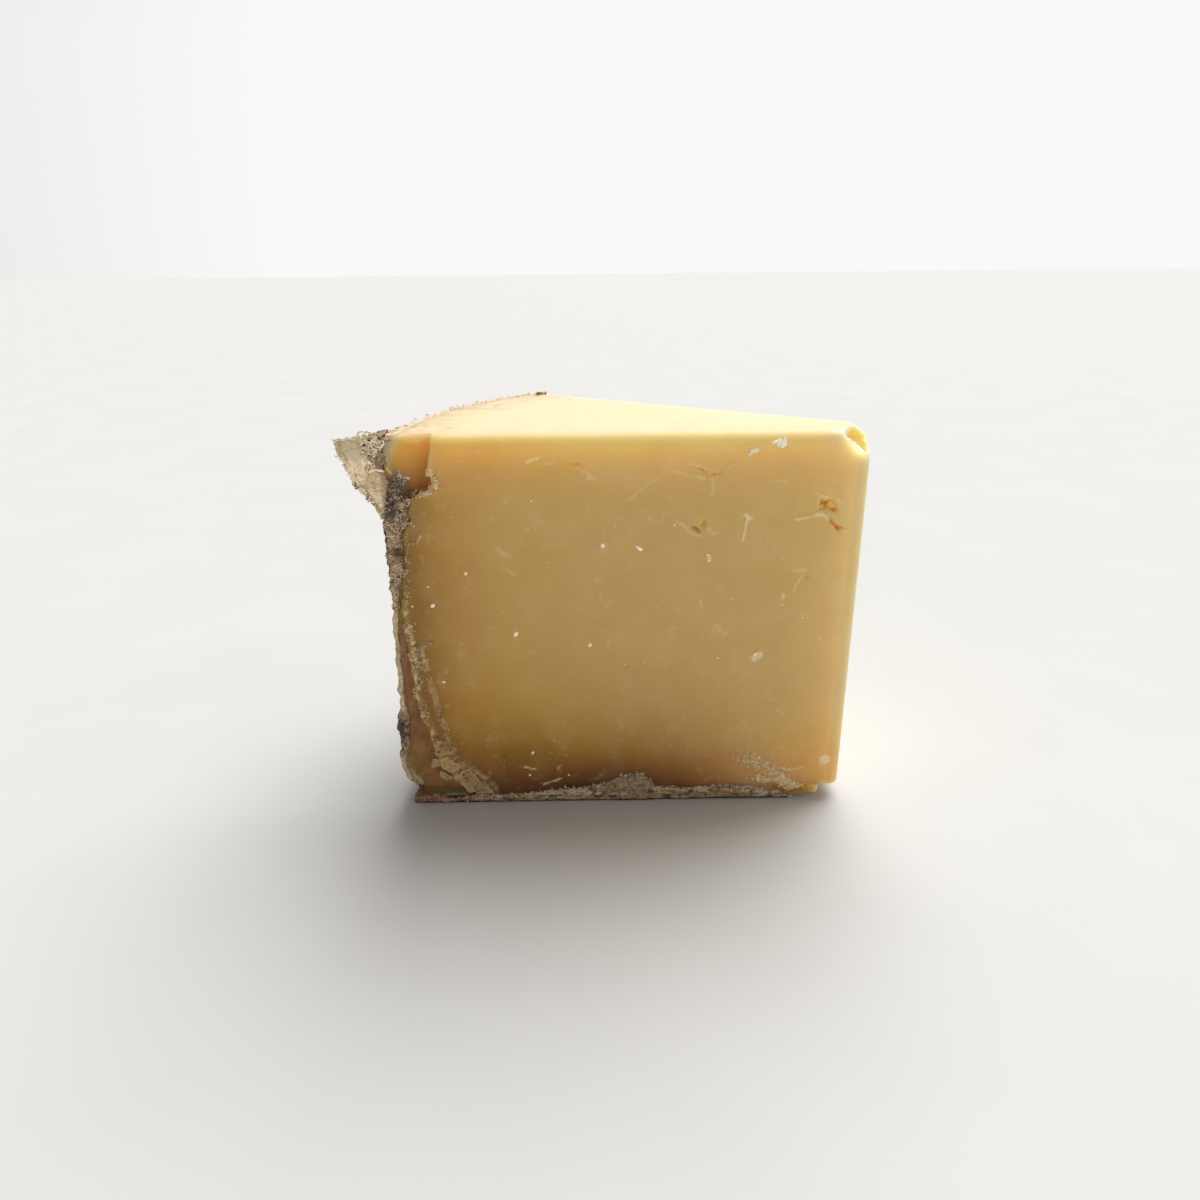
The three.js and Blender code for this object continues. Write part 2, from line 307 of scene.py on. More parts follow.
def notch_depth(x, z):
    """The notch: its right side is crisp, its floor ragged, and it deepens to the right."""
    rough = on_front(x, z)
    floor = notch_floor(x) + 0.5 * fractal(rough, 1.9, 11, 2)
    right = -49.75 - 1.6 * under(z, 107, 9) + 0.16 * fractal(rough, 2.2, 12, 2)
    right = right + 1.6 * under(z, 99, 0.8) * (0.6 + fractal(rough, 1.1, 13, 2))
    inside = ease((right - x) / 0.55) * ease((z - floor) / 0.6)
    fall = np.clip((HEIGHT - z) / (HEIGHT - floor), 0, 1)
    depth = blend(3.2, 4.8, fall) * blend(0.35, 1.0, ease((x - WALL_X) / 13.1))
    return inside * (depth + 0.12 * fractal(rough, 3.0, 14, 3))


def strip_depth(x, z):
    """The fractured strip, which stops at the rind of the base."""
    rough = on_front(x, z)
    ragged = 0.45 * fractal(rough, 1.6, 21, 3) + 0.35 * noise(rough, 4.5, 22)
    inside = ease((line_x(RIDGE, z) + ragged - x) / 0.8) * over(z, -0.2, 1.4)
    depth = blend(3.6, 0.7, ease(z / 65)) + 0.3 * crag(2 * x, 2 * z)
    return inside * (depth + 0.25 * fractal(rough, 2.4, 23, 3))


def groove(x, z, line, width, seed):
    """A crack of ragged width along a line: 1 in its middle, 0 from its edges on."""
    ragged = width * (1 + 0.5 * fractal(on_front(x, z), 0.9, seed, 2))
    return np.maximum(0, 1 - (from_line(x, z, np.array(line)) / ragged) ** 2)


# Cracks and pits of the front cut: points, half width, depth, and how amber they look; the amber is
# painted shade in the crack
CRACKS = [
    ([(-15.5, 102.1), (-14, 102), (-11.6, 101.3), (-10.1, 100.1), (-9.1, 98.6)], 0.3, 0.6, 0.75),
    ([(-14.3, 101.8), (-13.2, 99.8), (-12.2, 98.5), (-9.3, 98.1)], 0.26, 0.35, 0.5),
    ([(16.7, 100.9), (19.2, 100.2), (21, 98.6), (23.1, 98.4), (24.7, 99.1)], 0.3, 0.6, 0.7),
    ([(24.7, 99.1), (26.6, 101.2), (28.1, 102.2)], 0.24, 0.3, 0.35),
    ([(20.9, 98.3), (21.2, 96.8), (21.8, 95.2)], 0.3, 0.25, 0.15),
    ([(54.4, 90.4), (55.6, 90.8), (56.3, 91.2)], 0.25, 0.3, 0.4),
    ([(57.6, 83.4), (58.9, 83.2)], 0.28, 0.5, 0.6),
    ([(49.3, 70.6), (49.9, 69.7)], 0.55, 1, 0.9),
    ([(47.4, 68.8), (46.4, 66.8)], 0.3, 0.3, 0.4),
    ([(25.3, 55.9), (27.4, 54.3)], 0.35, 0.35, 0.3),
]
# Pits broken out of the front cut: outline, depth, and how amber they look; the amber is painted shade
# in the pit
PITS = [
    ([(51.3, 91.9), (52.5, 91.3), (54.6, 91.5), (55.3, 90), (55.7, 88.4), (54.2, 88.3),
      (52.7, 89.1), (52.1, 88.5), (51, 88.5), (51.3, 90.1)], 1.3, 0.85),
    ([(53.6, 87.1), (55.2, 85.7), (56.3, 84.4), (58.1, 83.5), (56.5, 83), (55.2, 84),
      (54.3, 85.3), (53.4, 86.5)], 1.6, 1),
    ([(17.4, 84.8), (19, 84.5), (20.4, 83.2), (19.4, 82.7), (18.1, 83.6)], 0.9, 0.95),
    ([(19.4, 85.3), (20.8, 86.3), (21.8, 85.5), (21.5, 84.3), (20.3, 84.5)], 0.9, 0.9),
]
# Lips of torn, paler paste: points, half width, height, and paleness, which is partly painted
# highlight on the raised lip
LIPS = [
    ([(-61.6, 108.6), (-61.3, 104.5), (-61.2, 101), (-60.6, 99.4)], 0.28, 0.3, 0.95),
    ([(-60.2, 106.2), (-59.8, 104.8), (-60, 103.6)], 0.3, 0.15, 0.6),
    ([(-12, 100.6), (-10.6, 99.4), (-8.6, 98.5)], 0.6, 0.12, 0.35),
    ([(-9.6, 97.8), (-7.2, 97.4)], 0.4, 0.2, 0.6),
    ([(-25.2, 102.2), (-23.4, 103.1), (-21.6, 103.6)], 0.5, 0.25, 0.85),
    ([(-21, 101.8), (-18.6, 102.2)], 0.35, 0.15, 0.4),
    ([(16, 101.3), (18.2, 101), (20.6, 100.2)], 0.4, 0.2, 0.4),
    ([(12, 99.5), (15.6, 98.4), (18.4, 98), (20.6, 97.4)], 0.4, 0.15, 0.4),
    ([(22.6, 97.4), (23, 94.6), (22.2, 92.6)], 0.4, 0.12, 0.35),
    ([(5.6, 96.3), (8.2, 97.6)], 0.4, 0.1, 0.35),
    ([(25.6, 99.6), (28.2, 101.2)], 0.5, 0.1, 0.25),
    ([(14, 85.8), (15.9, 84.6), (17.4, 82.9), (19.6, 81.9)], 0.45, 0.25, 0.5),
    ([(22, 84), (23.8, 82.4)], 0.5, 0.15, 0.35),
    ([(31.9, 87.9), (32.3, 86.3), (31.7, 83.6), (31.4, 81)], 0.42, 0.3, 0.95),
    ([(31.7, 87.6), (32.9, 86.6)], 0.6, 0.3, 0.95),
    ([(45.2, 86.3), (48.5, 86.8), (50.8, 87.6)], 0.4, 0.35, 0.8),
    ([(50.4, 87.6), (51.6, 87.6), (52.8, 87), (53.7, 86.1)], 0.65, 0.45, 0.9),
    ([(49.8, 93.3), (51, 92.4), (52.6, 92.4)], 0.4, 0.25, 0.55),
    ([(55.6, 91.6), (56.4, 90.4)], 0.4, 0.25, 0.5),
    ([(54.6, 84.6), (55.8, 83.4), (58.4, 82.6)], 0.5, 0.2, 0.45),
    ([(45.6, 72), (48.6, 71.9)], 0.4, 0.2, 0.5),
    ([(48, 70.4), (46.2, 68.2), (45.6, 66)], 0.38, 0.22, 0.6),
    ([(43.2, 65.4), (43, 64)], 0.32, 0.25, 0.95),
    ([(25, 56.3), (26.8, 54.3), (27.9, 53.9)], 0.4, 0.2, 0.5),
    ([(46.6, 9.6), (49, 9.3), (52.4, 9.2)], 0.4, 0.2, 0.7),
    ([(-7, 66), (-6, 63.8), (-3.9, 61.5)], 0.3, 0.1, 0.4),
    ([(-34, 79), (-31, 77.2)], 0.6, 0.1, 0.4),
    ([(-33, 74), (-30, 72)], 0.45, 0.1, 0.35),
    ([(1, 92), (4.5, 94.8)], 0.45, 0.1, 0.35),
    ([(38, 96), (42, 96.6)], 0.35, 0.1, 0.3),
    ([(20.5, 64), (21, 61)], 0.3, 0.1, 0.35),
    ([(-55.2, 80.6), (-53.6, 83)], 0.35, 0.1, 0.45),
    ([(-29.6, 10.3), (-26.4, 9.8)], 0.32, 0.25, 0.9),
    ([(-24, 3.9), (-19, 5.9)], 0.35, 0.25, 0.8),
    ([(-19.5, 9.6), (-18.8, 11)], 0.3, 0.2, 0.6),
]
# Flat flakes that lie on the front cut: centre, half width, half height, turn in degrees
FLAKES = [
    (33.6, 104.5, 1.2, 0.5, 25), (35.4, 105.6, 0.6, 0.35, 40),
    (37, 46.9, 1.9, 1.1, 38), (35.6, 45.8, 1, 0.8, 0), (22.3, 76.5, 0.8, 0.7, 0),
    (22.4, 75.4, 1.1, 0.6, 10),
]
DISC = (58.8, 12.8, 1.75)


def within(x, z, outline):
    """Distance to an outline of (x, z) points, positive inside it."""
    inside = np.zeros(np.shape(x), dtype=bool)
    closed = outline + outline[:1]
    for (ax, az), (bx, bz) in zip(closed[:-1], closed[1:]):
        if az != bz:
            crossing = ax + (z - az) * (bx - ax) / (bz - az)
            inside ^= ((az > z) != (bz > z)) & (x < crossing)
    away = from_line(x, z, closed)
    return np.where(inside, away, -away)


def front_recess(x, z):
    """How far the front cut lies behind its own plane, with its larger relief."""
    flap = np.where(x < WALL_X, 0.6, 0.0)
    broken = np.where(z > FLAP_FOOT, np.maximum(notch_depth(x, z), flap), 0.0)
    return np.maximum(broken, strip_depth(x, z))


def paste_detail(x, z):
    """Fine relief of the front cut behind its surface, the painted shade of its cracks and pits, and
    how pale its torn paste is, partly painted highlight.
    """
    rough = on_front(x, z)
    depth = 0.10 * fractal(rough, 16, 31, 2) + 0.03 * fractal(rough, 2.6, 32, 3)
    crevice_shade, pale = np.zeros_like(x), np.zeros_like(x)
    bent_x = x + 0.45 * fractal(rough, 1.7, 28, 2)
    bent_z = z + 0.45 * fractal(rough, 1.7, 29, 2)
    for number, (line, width, deep, colour) in enumerate(CRACKS):
        cut = groove(bent_x, bent_z, line, 0.85 * width, 40 + number)
        depth = depth + 0.75 * deep * cut
        crevice_shade = np.maximum(crevice_shade, colour * np.sqrt(cut))
    for outline, deep, colour in PITS:
        cut = ease(within(bent_x, bent_z, outline) / 0.45 + 0.35)
        depth = depth + deep * cut * (1 + 0.3 * fractal(rough, 1.5, 70, 2))
        crevice_shade = np.maximum(crevice_shade, colour * cut)
    for number, (line, width, high, colour) in enumerate(LIPS):
        lip = groove(bent_x, bent_z, line, width, 80 + number)
        depth = depth - high * lip
        pale = np.maximum(pale, colour * np.sqrt(lip))
    for number, (cx, cz, wide, high, turn) in enumerate(FLAKES):
        c, s = math.cos(math.radians(turn)), math.sin(math.radians(turn))
        right, up = bent_x - cx, bent_z - cz
        away = np.hypot((c * right + s * up) / wide, (c * up - s * right) / high)
        flake = ease((1 + 0.45 * fractal(rough, 0.8, 120 + number, 2) - away) / 0.35)
        depth = depth - 0.3 * flake
        pale = np.maximum(pale, 0.9 * flake)
    crumb = fractal(rough, 0.95, 36, 2)
    tear = from_line(x, z, TEAR) + 1.1 * fractal(rough, 1.6, 33, 3)
    torn = under(tear, 1.1, 0.7) * ease(0.75 + fractal(rough, 3.5, 34, 2))
    beside = x - line_x(RIDGE, z) - 0.9 * fractal(rough, 1.5, 35, 3)
    lip = ease(beside / 0.4) * under(beside, 2.1, 1.3) * under(z, 66, 6)
    flaky = ease(beside / 0.6) * under(x, line_x(TEAR, z) + 1.2, 1.5) * under(z, 20, 3)
    depth = depth - 0.35 * torn * (0.5 + crumb)
    depth = depth - (0.55 * lip + 0.40 * flaky) * (0.35 + 0.9 * crumb)
    pale = np.maximum(pale, 0.55 * torn * ease(0.7 + 0.9 * crumb))
    pale = np.maximum(pale, 0.75 * lip * ease(0.45 + 1.1 * crumb))
    pale = np.maximum(pale, 0.55 * flaky * ease(0.7 + 0.7 * crumb))
    return depth + 0.9 * rind_shows(x, z), crevice_shade, pale


def rind_shows(x, z):
    """1 where the crumbly rind covers the front cut, 0 beside it, with a ragged edge."""
    ragged = blend(0.45, 1.2, over(z, 58, 12)) * fractal(on_front(x, z), 1.9, 250, 3)
    return ease((line_x(RIND_EDGE, z) + ragged - x) / 0.35 + 0.5)


def nose_lift(x, z):
    """How far the base is worn away under the nose, with a small step near its end."""
    weave_gap_shade = 2.7 * over(x, 46, 11) - 1.0 * over(x, 52, 2) + 2.9 * over(x, 57, 0.8)
    return weave_gap_shade * np.maximum(0, 1 - z / FOOT_REACH)


def flap_drop(x, z):
    past = np.clip((WALL_X - x) / FLAP_REACH, 0, 1)
    return 1.2 * past * ease((z - FLAP_FOOT) / (HEIGHT - FLAP_FOOT))


def wall_point(angle, radius):
    """A point in plan, at an angle from the front cut and a radius from the wheel's axis."""
    return np.stack([WHEEL_CENTRE[0] - radius * np.cos(angle), radius * np.sin(angle)], -1)


def round_corner(before, at, after):
    """Centre, first direction and turn of the round corner between two straight sides."""
    inward = (before - at) / np.linalg.norm(before - at)
    onward = (after - at) / np.linalg.norm(after - at)
    bisector = (inward + onward) / np.linalg.norm(inward + onward)
    half = math.acos(inward @ bisector)
    centre = at + bisector * NOSE_ROUND / math.sin(half)
    return centre, math.atan2(inward[0], -inward[1]), math.pi - 2 * half


FRONT_RIGHT = np.array([NOSE_X, 0.0])
NOSE_BACK = np.array([NOSE_X, NOSE_WIDTH])
FRONT_CORNER = round_corner(np.array([WALL_X, 0.0]), FRONT_RIGHT, NOSE_BACK)
BACK_CORNER = round_corner(FRONT_RIGHT, NOSE_BACK, BACK_LEFT)
BACK_ALONG = (BACK_LEFT - NOSE_BACK) / np.linalg.norm(BACK_LEFT - NOSE_BACK)
BACK_OUT = np.array([BACK_ALONG[1], -BACK_ALONG[0]])
FRONT_OUT = np.array([0.0, -1.0, 0.0])
CHIP = np.array([9.2, 14.0, 6.8])      # how far it goes along the front, the nose and down
CHIP_NORMAL = np.array([1, -1, 1]) / CHIP / np.linalg.norm(1 / CHIP)
CHIP_EDGE = np.array([NOSE_X - CHIP[0], 0.0, HEIGHT])


def corner_points(corner, shares, inset):
    centre, first, turn = corner
    angle = first + shares * turn
    return centre + (NOSE_ROUND - inset) * np.stack([np.cos(angle), np.sin(angle)], -1)


def chip_depth(points):
    """How far a point lies outside the ragged face of the broken corner."""
    return (points - CHIP_EDGE) @ CHIP_NORMAL + 0.5 * fractal(points, 2.2, 52, 2)


def chipped(points):
    """The nose's front top corner is broken off along a hollow face with a raised lip."""
    outside = chip_depth(points)
    hollow = 2.4 * ease(outside / 1.3) + 0.25 * fractal(points, 3, 51, 2) * ease(outside / 0.5)
    cut = np.maximum(0, outside) + hollow
    lip = 0.14 * bell(outside, -0.5, 0.8) * (1 + 0.8 * fractal(points, 1.6, 53, 2))
    lip = lip * (points[..., 1] < 6)
    return points - CHIP_NORMAL * cut[..., None] + FRONT_OUT * lip[..., None]


# ---------------------------------------------------------------- meshes

def normals_of(grid):
    """Outward normals of a grid of points whose rows go up and columns go round."""
    normal = np.cross(np.gradient(grid, axis=1), np.gradient(grid, axis=0))
    return normal / np.maximum(1e-9, np.linalg.norm(normal, axis=-1, keepdims=True))


def put(points):
    """Points in the CAD's frame, in metres."""
    return (np.asarray(points).reshape(-1, 3) + SHIFT) / 1000


def make(name, points, faces, slot, material, colours, smooth=True):
    """A piece of the wedge from points in millimetres, with a colour for each point."""
    mesh = bpy.data.meshes.new(name)
    mesh.from_pydata(put(points).tolist(), [], faces)
    mesh.polygons.foreach_set("use_smooth", np.full(len(mesh.polygons), smooth))
    layer = mesh.color_attributes.new("tint", "FLOAT_COLOR", "POINT")
    rgba = np.ones((len(mesh.vertices), 4))
    rgba[:, :3] = np.clip(colours.reshape(-1, 3), 0, 1)
    layer.data.foreach_set("color", rgba.ravel())
    mesh.update()
    piece = bpy.data.objects.new(name, mesh)
    bpy.context.scene.collection.objects.link(piece)
    piece.data.materials.append(material)
    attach(piece, "root")
    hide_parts(NODE)


def grid_faces(rows, columns, wrap):
    """Quads of a grid whose points are listed row by row."""
    last = columns if wrap else columns - 1
    row, column = np.meshgrid(np.arange(rows - 1), np.arange(last), indexing="ij")
    after = (column + 1) % columns
    faces = [row * columns + column, row * columns + after,
             (row + 1) * columns + after, (row + 1) * columns + column]
    return np.stack(faces, -1).reshape(-1, 4)


def closed_stack(rings):
    """Points and faces of a stack of rings, closed by a fan at its foot and at its top."""
    rows, columns = rings.shape[:2]
    points = np.vstack([rings.reshape(-1, 3), rings[0].mean(0), rings[-1].mean(0)])
    foot, top = rows * columns, rows * columns + 1
    faces = grid_faces(rows, columns, True).tolist()
    end = (rows - 1) * columns
    for column in range(columns):
        after = (column + 1) % columns
        faces.append([foot, after, column])
        faces.append([top, end + column, end + after])
    return points, faces


# ---------------------------------------------------------------- the paste

RIND_COVER = 1.0       # how far the paste lies inside the wall's face, under the rind
BASE_COVER = 2.3       # how far it lies above the floor, inside the rind of the base
STRAIGHT = HEIGHT - TOP_ROUND
TOP_SHARES = (0.994, 0.982, 0.965, 0.94, 0.91, 0.87, 0.82, 0.76, 0.68, 0.6, 0.5, 0.4, 0.3, 0.2, 0.1)


def rounded_top(steps):
    """Height and inset of each row of the rounded top edge."""
    turns = np.linspace(0, math.pi / 2, steps + 1)[1:]
    return [(STRAIGHT + TOP_ROUND * math.sin(turn), TOP_ROUND * (1 - math.cos(turn)))
            for turn in turns]


def paste_ring(z, inset, columns):
    """The paste's outline at one height, with the painted shade of cracks and pits and the paleness of
    torn paste there.
    """
    wall_radius = WHEEL_RADIUS + wall_stand(z) - RIND_COVER - inset
    bulge = 1.3 * under(z, 18, 3) * over(z, 3, 3)
    left = WALL_X - wall_stand(z) + RIND_COVER - bulge + inset
    x = columns["front"] + (left - columns["front"][0]) * under(columns["front"], -52, 12)
    depth, crevice_shade, pale = paste_detail(x, np.full_like(x, z))
    recess = front_recess(x, np.full_like(x, z)) + depth
    bend = np.linspace(0, 1, 7)
    round_front = corner_points(FRONT_CORNER, bend, inset)
    round_back = corner_points(BACK_CORNER, bend, inset)
    nose = blend(round_front[-1], round_back[0], columns["nose"][1:-1, None])
    end = wall_point(SECTOR, wall_radius) - BACK_OUT * inset
    back = blend(round_back[-1], end, columns["back"][1:, None])
    start = math.asin((recess[0] + inset) / WHEEL_RADIUS)
    wall = wall_point(blend(SECTOR, start, columns["wall"][1:-1]), wall_radius)
    front = np.stack([x, recess + inset], -1)
    ring = np.vstack([front, round_front, nose, round_back, back, wall])
    marks = np.zeros((len(ring), 2))
    marks[:len(x)] = np.stack([crevice_shade, pale], -1)
    return with_height(ring, z), marks


def paste_lift(points):
    """Lifts the paste's foot off the floor: onto the rind of the base, and under the nose."""
    x, z = points[..., 0], points[..., 2]
    return nose_lift(x, z) + BASE_COVER * under(x, 47.5, 4) * np.maximum(0, 1 - z / FOOT_REACH)


def build_paste(material):
    """Rings up the paste's sides, closed by smaller rings over its top and under its foot."""
    columns = {
        "front": graded([
            (-64, 0.33), (-46, 0.4), (-34, 0.62), (10, 0.62), (16, 0.37), (31, 0.37), (35, 0.55),
            (44, 0.5), (48, 0.36), (60.4, 0.36),
        ])[:-1],
        "nose": np.linspace(0, 1, 22),
        "back": graded([(0, 1.1), (60, 1.4), (104, 1.1), (114, 0.8)]) / 114,
        "wall": np.linspace(0, 1, 26),
    }
    heights = graded([(0, 0.45), (13, 0.48), (20, 0.68), (80, 0.68), (84, 0.38), (STRAIGHT, 0.4)])
    made = [paste_ring(z, inset, columns) for z, inset in [(z, 0) for z in heights] + rounded_top(6)]
    sides = np.array([ring for ring, _ in made])
    marks = np.array([mark for _, mark in made])
    sides[..., 2] += paste_lift(sides)

    # Behind the front cut, the faces are slightly uneven
    uneven = 0.16 * fractal(sides, 15, 61, 3) + 0.03 * fractal(sides, 2.4, 62, 2)
    sides += normals_of(sides) * (uneven * (sides[..., 1] > 12))[..., None]

    # Towards the middle of the top and the foot, the rings lose the notch and the strip
    plain = sides[-1].copy()
    plain[:len(columns["front"]), 1] = TOP_ROUND

    def cap(ring, share, z):
        evened = blend(ring[:, :2], plain[:, :2], ease((0.99 - share) / 0.34))
        return with_height(blend(CAP_CENTRE, evened, share), z)

    foot = [cap(sides[0], share, sides[0, :, 2]) for share in (0.3, 0.6, 0.85, 0.96)]
    top = [cap(sides[-1], share, HEIGHT) for share in TOP_SHARES]
    for share, ring in zip(TOP_SHARES, top):
        ring[:, 2] += 0.12 * fractal(ring, 14, 63, 3) * ease((1 - share) * 12)
    points, faces = closed_stack(chipped(np.array(foot + list(sides) + top)))
    all_marks = np.zeros((len(points), 2))
    first = len(foot) * sides.shape[1]
    all_marks[first:first + marks[..., 0].size] = marks.reshape(-1, 2)
    make("cheese_paste", points, faces, "cheese", material, paste_colours(points, all_marks))


def wall_depth(points):
    """How deep a point lies inside the wheel's wall."""
    x, y, z = points.T
    return WHEEL_RADIUS + wall_stand(z) - np.hypot(x - WHEEL_CENTRE[0], y)


def deepened(rgb, depth):
    """A darker shade of the same paste: blue goes first, then green."""
    return np.asarray(rgb) * np.exp(-depth[..., None] * np.array([1.0, 1.4, 2.4]))


# Small brown marks on the top: place in plan, half length, half width
TOP_MARKS = [
    (-51.9, 11.2, 1.6, 0.5), (-46.4, 12.2, 1.3, 0.5), (-55.4, 15.9, 1.8, 0.6), (-44.5, 35.3, 0.8, 0.7),
    (-15.7, 65, 1.1, 1), (-49, 12.4, 1.2, 0.3), (-57.5, 15.4, 1.5, 0.5), (-47.1, 37.3, 3.2, 1.4),
]


def paste_colours(points, marks):
    x, y, z = points.T
    crevice_shade, torn_paleness_and_highlight = marks.T
    deep = wall_depth(points)
    ragged, fine = fractal(points, 9, 71, 3), fractal(points, 1.6, 72, 3)
    in_front = under(y, 15, 10)
    up = over(z, HEIGHT - 2.2, 2)

    # Painted light: the glow of light through the paste's edges is painted on, golden under the top
    # and pale at the nose, with a painted highlight along the top edge and a more golden top by the
    # front edge; the top's paler colour is partly its dry cut face and partly painted light
    seen = 0.35 + 0.65 * in_front
    top = tint(PASTE_TOP_DRY_AND_PAINTED_LIGHT, (0.84, 0.57, 0.24), 0.9 * fade(y - 2, 4))
    rgb = layered(
        PASTE,
        (PAINTED_TOP_GLOW, seen * fade(HEIGHT - 4 - z, 5.5)),
        (PAINTED_NOSE_GLOW, seen * fade(NOSE_X - 4.5 - x, 7)),
        ((0.76, 0.61, 0.35), over(x, 59, 2.5) * (1 - over(y, 2.5, 6))),
        ((0.88, 0.68, 0.30), over(x, 57, 6) * over(y, 2.5, 6)),
        ((1.0, 0.735, 0.37), 0.85 * fade(HEIGHT - 1.6 - z, 1.5)),
        (top, over(z, HEIGHT - 1, 0.9)),
    )

    # The paste darkens towards the rind of the wall and of the base: partly its own darker zone by the
    # rind, partly painted shade, most of all low down, to the left and just above the base's rind
    inward = deep - 8 + 2 * ragged
    wall_tone_and_shade = 0.22 * fade(inward, 35) + 0.55 * fade(inward, 6)
    wall_tone_and_shade *= (1 - 0.9 * np.exp((z - HEIGHT) / 16)) * (1 - 0.3 * up)
    base_shade_and_tone = np.minimum(1.25, 1.4 * fade(z - 4.5 + 1.5 * ragged, 9.5) * under(x, 43, 38))
    base_shade_and_tone += 0.46 * bell(x, -9, 20) * fade(z - 6, 4) + 0.15 * bell(x, -32, 14) * bell(z, 17, 9)
    rgb = deepened(rgb, wall_tone_and_shade + base_shade_and_tone)

    # It is more amber low down, and most of all at its ends
    low = under(z, 60, 50)
    blue = (0.45 + 0.5 * low) * bell(x, -57, 14 + 28 * under(z, 60, 45))
    blue += (0.13 + 0.4 * under(z, 34, 22)) * bell(x, 55, 15)
    blue += (0.12 + 0.2 * over(z, 92, 10)) * bell(x, -32, 22)
    blue += 0.85 * under(z, 24, 12) * bell(x, -28, 24) + 0.12 * low
    green = 0.1 * over(z, 90, 8) * bell(x, -38, 16)
    green += 0.07 * over(x, -58, 4) * under(x, -34, 8) * under(z, 96, 6)
    green += 0.05 * under(z, 55, 30) + 0.15 * under(z, 24, 14) + 0.12 * under(z, 10, 5)
    plain = in_front * (1 - up)
    rgb[:, 1] *= np.exp(-green * plain)
    rgb[:, 2] *= np.exp(-blue * plain)
    # Painted glow: orange light in the paste by the froth; painted shade: dark red-brown low under the
    # nose, just above the floor
    painted_glow = bell(x, 45, 8) * bell(z, 7, 6) * in_front
    painted_shade_below = under(z, 6.5, 3) * over(x, 38, 8) * under(x, 60, 4) * in_front

    # On the top: a tan zone beside the wall, streaks and a few brown marks
    streak = fractal(points * (0.1, 1, 1), 1.3, 73, 3)
    tan = ease((21 - deep + 5 * ragged) / 15) * (0.42 + 1.5 * streak)
    brown_top = ease((5 - deep + 3 * ragged + 1.5 * fine) / 5)
    speckled = ease((5.5 - deep + 3 * ragged) / 3) * over(fine, 0.3, 0.12)
    rgb = layered(
        rgb,
        ((0.96, 0.58, 0.18), 0.65 * painted_glow * (0.8 + 0.6 * fine)),
        ((0.46, 0.175, 0.03), 0.9 * painted_shade_below),
        ((0.60, 0.385, 0.205), 0.78 * up * tan),
        ((0.62, 0.40, 0.22), 0.55 * up * brown_top),
        ((0.26, 0.15, 0.08), 0.7 * up * speckled),
    )
    for cx, cy, long, wide in TOP_MARKS:
        away = np.hypot((x - cx) / long, (y - cy) / wide) + 0.5 * fine
        rgb = tint(rgb, (0.38, 0.20, 0.09), 0.75 * up * under(away, 1.1, 0.6))

    # The broken strip is red-brown, and dark in the corner above the base
    strip = under(x, line_x(RIDGE, z), 0.8) * under(z, 60, 8) * in_front

    # The notch is painted with light and shade: pale then amber at its top, where light comes through
    # the thin paste above, and brown lower down and under its ledge, painted shade; its pale left side
    # is torn paste and its grey corner is mould
    inside = over(notch_depth(x, z), 0.2, 0.2) * (y < 6) * (1 - up)
    ledge = ease((0.9 - (z - notch_floor(x)) + 0.5 * fine) / 0.8)
    brown = ease((-56 - x + 0.8 * fine + 0.5 * (99 - z)) / 3) * under(z, 100, 3)
    pale = ease((-58.7 - x + 1.2 * fine + 0.3 * (z - 104)) / 2.2) * over(z, 100, 5)
    notch = layered(
        (0.82, 0.46, 0.07),
        ((0.58, 0.225, 0.035), under(z, 104.5, 8)),
        ((0.22, 0.085, 0.032), np.maximum(brown, 0.5 * ledge)),
        ((1.0, 0.60, 0.31), 0.85 * np.maximum(pale, 0.75 * over(z + fine, 106.3, 2))),
        ((0.17, 0.11, 0.085), 0.75 * spot(x, z, (-59.2, 96.3), 3.4 + 1.2 * fine, 1.8, 1.25)),
    )
    beside = (1 - inside) * over(x, -52, 1) * fade(x + 49.6, 2.5) * over(z, 92, 4) * plain

    # The broken corner is golden inside, a painted glow of the light through the thin corner, with a
    # pale lip
    outside = chip_depth(points) * (x > 50) - 9 * (x <= 50)
    near = np.minimum(0, outside + 0.2)
    rim = (outside < 0.1) * (y < 6)
    rgb = layered(
        rgb,
        (deepened(PASTE_RED, 0.25 * ragged), 0.95 * strip),
        (deepened(PASTE_CORNER, 0.3 * ragged), strip * under(z, 22, 6)),
        ((0.50, 0.22, 0.07), 0.7 * strip * under(z, 7, 3)),
        (notch, 0.94 * inside),
        ((0.86, 0.50, 0.20), 0.75 * beside),
        ((0.82, 0.43, 0.07), 0.97 * over(outside, 0.1, 0.5)),
        ((0.80, 0.64, 0.43), 0.9 * bell(near, 0, 3.2) * rim),
        ((0.96, 0.83, 0.60), 0.85 * bell(near, 0, 1.1) * rim),
        # Painted shade: the amber of cracks and pits, deeper in their cores and broken by noise
        (CREVICE_SHADE_AMBER, 0.9 * crevice_shade),
        ((0.70, 0.37, 0.035), 0.45 * over(crevice_shade, 0.8, 0.15)),
    )
    rgb = deepened(rgb, 0.75 * fractal(points, 1.1, 74, 2) * over(crevice_shade, 0.4, 0.4))
    # Torn paste is paler, partly painted highlight on its raised lips; then a pale disc
    torn = tint(TORN, FLAKY, under(z, 46, 20) * under(x, -30, 8))
    disc = spot(x, z, DISC[:2], DISC[2], 0.4) * (y < 5)
    return layered(rgb, (torn, torn_paleness_and_highlight), ((1.0, 0.84, 0.52), 0.85 * disc))


# ---------------------------------------------------------------- the rind of the wall

INNER_INSET = 3.2
CORE = 0.42            # share of the flap that is crumbly rind; the rest is cloth
TOP_BANDS = (0.4, 0.8, 1.3, 1.8, 2.4, 3.0)     # rows on the top, by their distance from its rim


